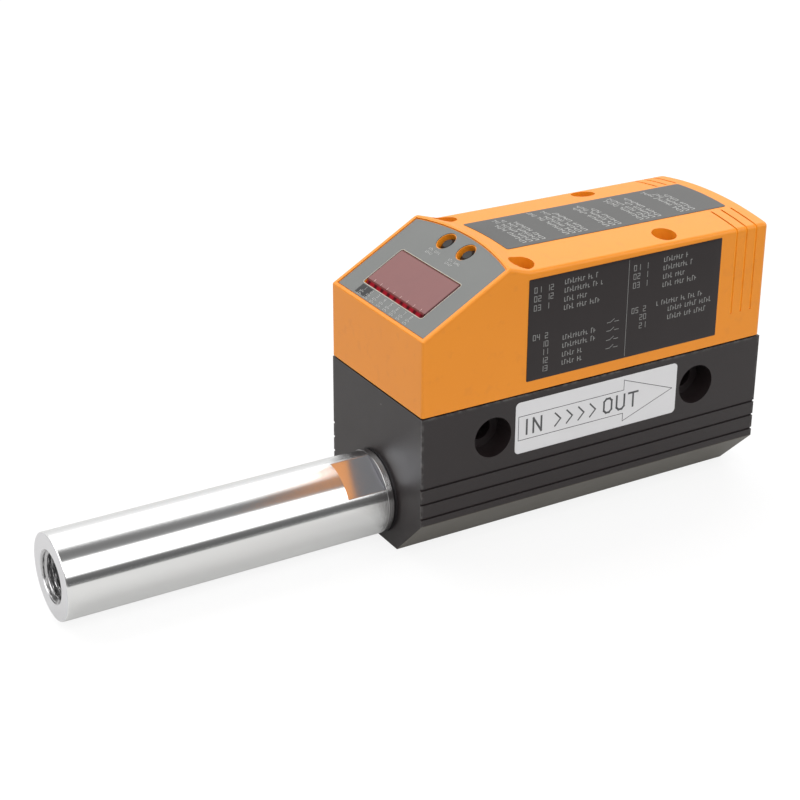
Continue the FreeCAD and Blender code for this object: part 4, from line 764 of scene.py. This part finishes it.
TOP, LEFT, DIVIDER = 13.55, -29.7, 0.3
CODE_HEIGHT, CODE_PITCH = 1.4, 1.2
codes = {
    LEFT + 1.6: ((3.0, "01 12"), (5.3, "02 12"), (7.7, "03 1"), (15.6, "04 2")),
    LEFT + 4.2: ((17.8, "10"), (20.0, "11"), (22.3, "12"), (24.5, "13")),
    DIVIDER + 1.6: ((3.0, "01 1"), (5.3, "02 1"), (7.7, "03 1"), (14.6, "05 2")),
    DIVIDER + 4.2: ((16.8, "20"), (19.1, "21")),
}
code_strokes = np.concatenate([
    figures(code, left, TOP - drop - CODE_HEIGHT / 2, CODE_HEIGHT, CODE_PITCH)
    for left, rows in codes.items() for drop, code in rows])
words = {
    LEFT + 10.6: ((2.4, (8, 2, 1)), (4.6, (10, 2, 1)), (7.0, (4, 4)), (9.2, (4, 4, 4)),
                  (17.2, (10, 2)), (19.4, (10, 2)), (21.8, (5, 2)), (24.0, (5, 2))),
    DIVIDER + 11.0: ((2.4, (8, 1)), (4.6, (10, 1)), (7.0, (4, 4)), (9.2, (4, 4, 4))),
    DIVIDER + 9.4: ((14.0, (1, 7, 2, 3, 2)),),
    DIVIDER + 13.2: ((16.2, (6, 5, 5)), (18.5, (6, 3, 5))),
}
word_strokes = np.concatenate([
    small_print(left, TOP - drop - 0.6, counts, height=1.25, pitch=0.78, gap=0.8)
    for left, rows in words.items() for drop, counts in rows])
contact = np.array([[0, 0, 1.1, 0], [1.1, 0, 2.2, 0.75], [2.3, 0, 3.6, 0]])
contacts = np.concatenate([contact + [DIVIDER - 6.0, TOP - drop] * 2 for drop in (16.2, 18.5, 21.0, 23.3)])
divider = np.array([[DIVIDER, -TOP + 0.5, DIVIDER, TOP - 0.5]])
groups = (code_strokes, word_strokes, contacts, divider)
side_widths = np.repeat([0.17, 0.2, 0.15, 0.12], [len(group) for group in groups])
side_print = strokes_of_ink("side_label_print", np.concatenate(groups), side_widths, on_side_film)
label_ink = moulded("label_ink", (0.21, 0.21, 0.205), (0.27, 0.27, 0.265), 0.5)
fit(side_print, label_ink, "housing", "charcoal_label")

top_low, top_high = (np.array(corner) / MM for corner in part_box("top_label"))
top_middle = (top_low + top_high) / 2
CROWN_RISE, CROWN_HALF, DECK_FALL, LABEL_PROUD = 2.1, 22.5, np.radians(0.66), 0.15
CROWN_RADIUS = (CROWN_HALF ** 2 + CROWN_RISE ** 2) / (2 * CROWN_RISE)


def on_crown(u, v, rise):
    """Points on the deck: u runs along X and v along Y from the label's middle.

    Across, the deck is part of one large circle; along, it falls in a straight line.
    """
    x = top_middle[0] + u
    drop = CROWN_RADIUS - np.sqrt(CROWN_RADIUS ** 2 - v ** 2) + (x - top_low[0]) * np.tan(DECK_FALL)
    return np.stack([x, v, top_high[2] - LABEL_PROUD - drop + rise], axis=-1)


def on_crown_film(u, v, rise):
    """Points on the face of the top label."""
    return on_crown(u, v, rise + SHEET)


top_half = (top_high - top_low) / 2
top_sheet = label_sheet("top_label_film", top_half[0], top_half[1], corner=0.6, surface=on_crown)
grey_label = film_ink("grey_label", (0.035, 0.0345, 0.032), (0.047, 0.0465, 0.044))
fit(top_sheet, grey_label, "housing", "grey_label", "top_label")


def across_crown(u, v, rise):
    """Points on the top label for rows that are turned: u runs across along Y, and v against the flow."""
    return on_crown_film(-v, u, rise)


top_rows = {
    27.6: (8, 5), 25.7: (6, 7, 3), 23.8: (9, 4, 2), 21.9: (5, 8),
    14.6: (10, 3, 4), 12.7: (4, 9), 10.8: (7, 5, 4), 8.9: (6, 8),
    2.2: (9, 6), 0.3: (3, 7, 5), -1.6: (8, 4),
    -8.6: (10, 6), -10.5: (5, 4, 7), -12.4: (9, 3), -14.3: (6, 9),
    -21.6: (4, 7, 5), -23.5: (10, 4), -25.4: (6, 6),
}
ROW_START, ROW_INK = -8.6, 0.26
top_strokes = np.concatenate([
    small_print(ROW_START, at, counts, height=1.2, pitch=0.98, gap=1.0) for at, counts in top_rows.items()])
top_print = strokes_of_ink("top_label_print", top_strokes, ROW_INK, across_crown)
fit(top_print, pale_ink, "housing", "grey_label")


# Flow plate: a pale satin film with rounded corners, glued between the two cross holes. A
# thin dark arrow shows which way the air flows, from IN to OUT.
plate_low, plate_high = (np.array(corner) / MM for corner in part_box("flow_plate"))
plate_middle, plate_half = (plate_low + plate_high) / 2, (plate_high - plate_low) / 2


def on_plate(u, v, rise):
    """Points on the base's side: u runs along X and v up from the plate's middle."""
    return np.stack([plate_middle[0] + u, plate_high[1] - rise, plate_middle[2] + v], axis=-1)


def on_plate_film(u, v, rise):
    """Points on the face of the flow plate."""
    return on_plate(u, v, rise + SHEET)


plate = label_sheet("flow_plate_film", plate_half[0], plate_half[2], corner=1.2, surface=on_plate)
pale_plate = film_ink("pale_plate", (0.64, 0.635, 0.645), (0.69, 0.685, 0.695))
fit(plate, pale_plate, "housing", "pale_plate", "flow_plate")
arrow = np.array([[-24.3, -3.4], [8.1, -3.4], [8.1, -5.6], [23.8, 0.2], [8.1, 6.0], [8.1, 3.2], [-24.3, 3.2]])
outline = np.concatenate([arrow, np.roll(arrow, -1, axis=0)], axis=1)
word_in = np.array([
    [-21.8, -2.0, -21.8, 1.9],
    [-19.8, -2.0, -19.8, 1.9], [-19.8, 1.9, -17.4, -2.0], [-17.4, -2.0, -17.4, 1.9]])
word_out = np.array([
    [2.0, -1.3, 2.0, 1.2], [2.0, 1.2, 2.7, 1.9], [2.7, 1.9, 3.7, 1.9], [3.7, 1.9, 4.4, 1.2],
    [4.4, 1.2, 4.4, -1.3], [4.4, -1.3, 3.7, -2.0], [3.7, -2.0, 2.7, -2.0], [2.7, -2.0, 2.0, -1.3],
    [6.0, 1.9, 6.0, -1.3], [6.0, -1.3, 6.7, -2.0], [6.7, -2.0, 7.7, -2.0], [7.7, -2.0, 8.4, -1.3],
    [8.4, -1.3, 8.4, 1.9],
    [9.8, 1.9, 12.6, 1.9], [11.2, 1.9, 11.2, -2.0]])
chevron = np.array([[0.0, 1.7, 1.7, -0.1], [1.7, -0.1, 0.0, -1.9]])
chevrons = np.concatenate([chevron + [u, 0] * 2 for u in (-13.2, -9.6, -6.0, -2.4)])
plate_groups = (outline, word_in, word_out, chevrons)
plate_widths = np.repeat([0.17, 0.55, 0.55, 0.4], [len(group) for group in plate_groups])
plate_strokes = np.concatenate(plate_groups)
plate_print = strokes_of_ink("flow_plate_print", plate_strokes, plate_widths, on_plate_film)
plate_ink = moulded("plate_ink", (0.055, 0.055, 0.058), (0.085, 0.085, 0.088), 0.5)
fit(plate_print, plate_ink, "housing", "pale_plate")


# Studio: a pale sheet that ends in front of the meter, two long softboxes, one behind and one
# in front, and a plain room with a bright window on the inlet's side. The camera sees white
# all round; shiny surfaces see the sheet, the boxes with soft edges, the window and the room.
FLOOR_HALF, FLOOR_LEVEL = 4, -0.0002
floor_corners = [[[x, y, FLOOR_LEVEL] for x in (-FLOOR_HALF, FLOOR_HALF)] for y in (-FLOOR_HALF, FLOOR_HALF)]
floor = skin("floor", np.array(floor_corners), close_rows=False, close_columns=False)
paper, place = finish("pale_paper", {"Roughness": 1.0, "Specular IOR Level": 0.0, "Emission Strength": 1.0})
seen = place.node("ShaderNodeLightPath", output="Is Camera Ray")
sheet = place.axis(1).between(-0.285, -0.155) * (0.97 + 0.06 * place.cloud(30 * MM))
far_off = place.vector("LENGTH", output=1).between(0.35, 0.9)
lit_paper = far_off.tint((0.17, 0.17, 0.17), (0.0, 0.0, 0.0))
white_paper = far_off.tint((0.835, 0.835, 0.835), (1.0, 1.0, 1.0))
coat(paper, {
    "Base Color": seen.tint(sheet.tint((0.06, 0.06, 0.06), (0.42, 0.42, 0.415)), lit_paper),
    "Emission Color": seen.tint(sheet.tint((0.03, 0.03, 0.03), (0.215, 0.215, 0.213)), white_paper),
})
floor.data.materials.append(paper)

room = bpy.data.worlds.new("room")
bpy.context.scene.world = room
room.use_nodes = True
ray = Tone(room.node_tree).node("ShaderNodeTexCoord")
across, height = ray.axis(1), ray.axis(2)
tilt = height.math("ARCTAN2", height, across) / np.pi
along = ray.axis(0) / (across * across + height * height).root()
BRIGHTEST = 2.6


def sky(levels):
    """Brightness of the room by tilt in degrees, from the back horizon over the top to the front horizon."""
    stops = [(at / 180, level / BRIGHTEST) for at, level in levels.items()]
    return tilt.node("ShaderNodeValToRGB", {"stops": stops}, {0: tilt}) * BRIGHTEST


boxes = sky({
    0: 0.80, 15: 0.86, 23: 0.95, 31: 1.15, 37: 1.8, 50: 2.3, 72: 2.3, 81: 1.4, 86.5: 0.95, 90.5: 0.34,
    94: 0.26, 103: 0.20, 112: 0.24, 118: 0.34, 120.5: 0.85, 122.5: 1.6, 125.5: 2.4, 153: 2.4, 159: 1.6,
    161.2: 1.0, 163.2: 0.35, 164.8: 0.2, 170: 0.15, 176: 0.12, 180: 0.2,
})
window_side = sky({0: 0.08, 45: 0.12, 65: 2.6, 125: 2.6, 150: 0.3, 180: 0.2})
mirrored = along.between(-0.25, -0.4).tint(boxes, window_side)
is_camera, is_glossy, is_through = (
    ray.node("ShaderNodeLightPath", output=f"Is {kind} Ray") for kind in ("Camera", "Glossy", "Transmission"))
seen_room = (is_camera + is_through).at_most(1.0).tint(
    is_glossy.tint((0.45, 0.45, 0.45), mirrored), (1.0, 1.0, 1.0))
room.node_tree.links.new(seen_room.socket, room.node_tree.nodes["Background"].inputs["Color"])

LIT_POINT = Vector((-0.1, 0.0, 0.02))


def softbox(name, tilt, distance, spread, width, radiance):
    """A long area lamp that faces the meter from a tilt above the back horizon.

    Its depth fills spread degrees as seen from the meter, and its power is radiance x pi x area.
    """
    direction = Vector((0.0, np.cos(np.radians(tilt)), np.sin(np.radians(tilt))))
    lamp = bpy.data.lights.new(name, "AREA")
    lamp.shape = "RECTANGLE"
    lamp.size, lamp.size_y = width, 2 * distance * np.tan(np.radians(spread / 2))
    lamp.energy = radiance * np.pi * lamp.size * lamp.size_y
    box = bpy.data.objects.new(name, lamp)
    box.matrix_world = Matrix.Translation(LIT_POINT + distance * direction) @ Matrix((
        (1, 0, 0, 0), (0, direction.z, direction.y, 0), (0, -direction.y, direction.z, 0), (0, 0, 0, 1)))
    box.visible_camera = False
    box.visible_glossy = False
    bpy.context.scene.collection.objects.link(box)


softbox("back_softbox", tilt=52.5, distance=1.2, spread=55.0, width=3.0, radiance=1.95)
softbox("front_softbox", tilt=138.5, distance=1.2, spread=37.0, width=3.0, radiance=1.95)

CAMERA_PLACE = (-0.269104, -0.380471, 0.243526)
FOCAL_PIXELS, IMAGE_PIXELS, SENSOR = 1921.776, 800, 36.0
azimuth, elevation, roll = np.radians([-30.4497, 25.1664, 0.1779])
level = np.cos(elevation)
back = np.array([np.sin(azimuth) * level, -np.cos(azimuth) * level, np.sin(elevation)])
right = np.cross(-back, [0.0, 0.0, 1.0])
right /= np.linalg.norm(right)
up = np.cross(right, -back)
right, up = np.cos(roll) * right + np.sin(roll) * up, np.cos(roll) * up - np.sin(roll) * right
lens = bpy.data.cameras.new("camera")
lens.sensor_width = SENSOR
lens.lens = SENSOR * FOCAL_PIXELS / IMAGE_PIXELS
lens.clip_start = 0.01
camera = bpy.data.objects.new("camera", lens)
camera.matrix_world = Matrix.Translation(Vector(CAMERA_PLACE)) @ Matrix(
    np.stack([right, up, back], axis=1).tolist()).to_4x4()
bpy.context.scene.collection.objects.link(camera)
bpy.context.scene.camera = camera
bpy.context.scene.view_settings.view_transform = "Standard"
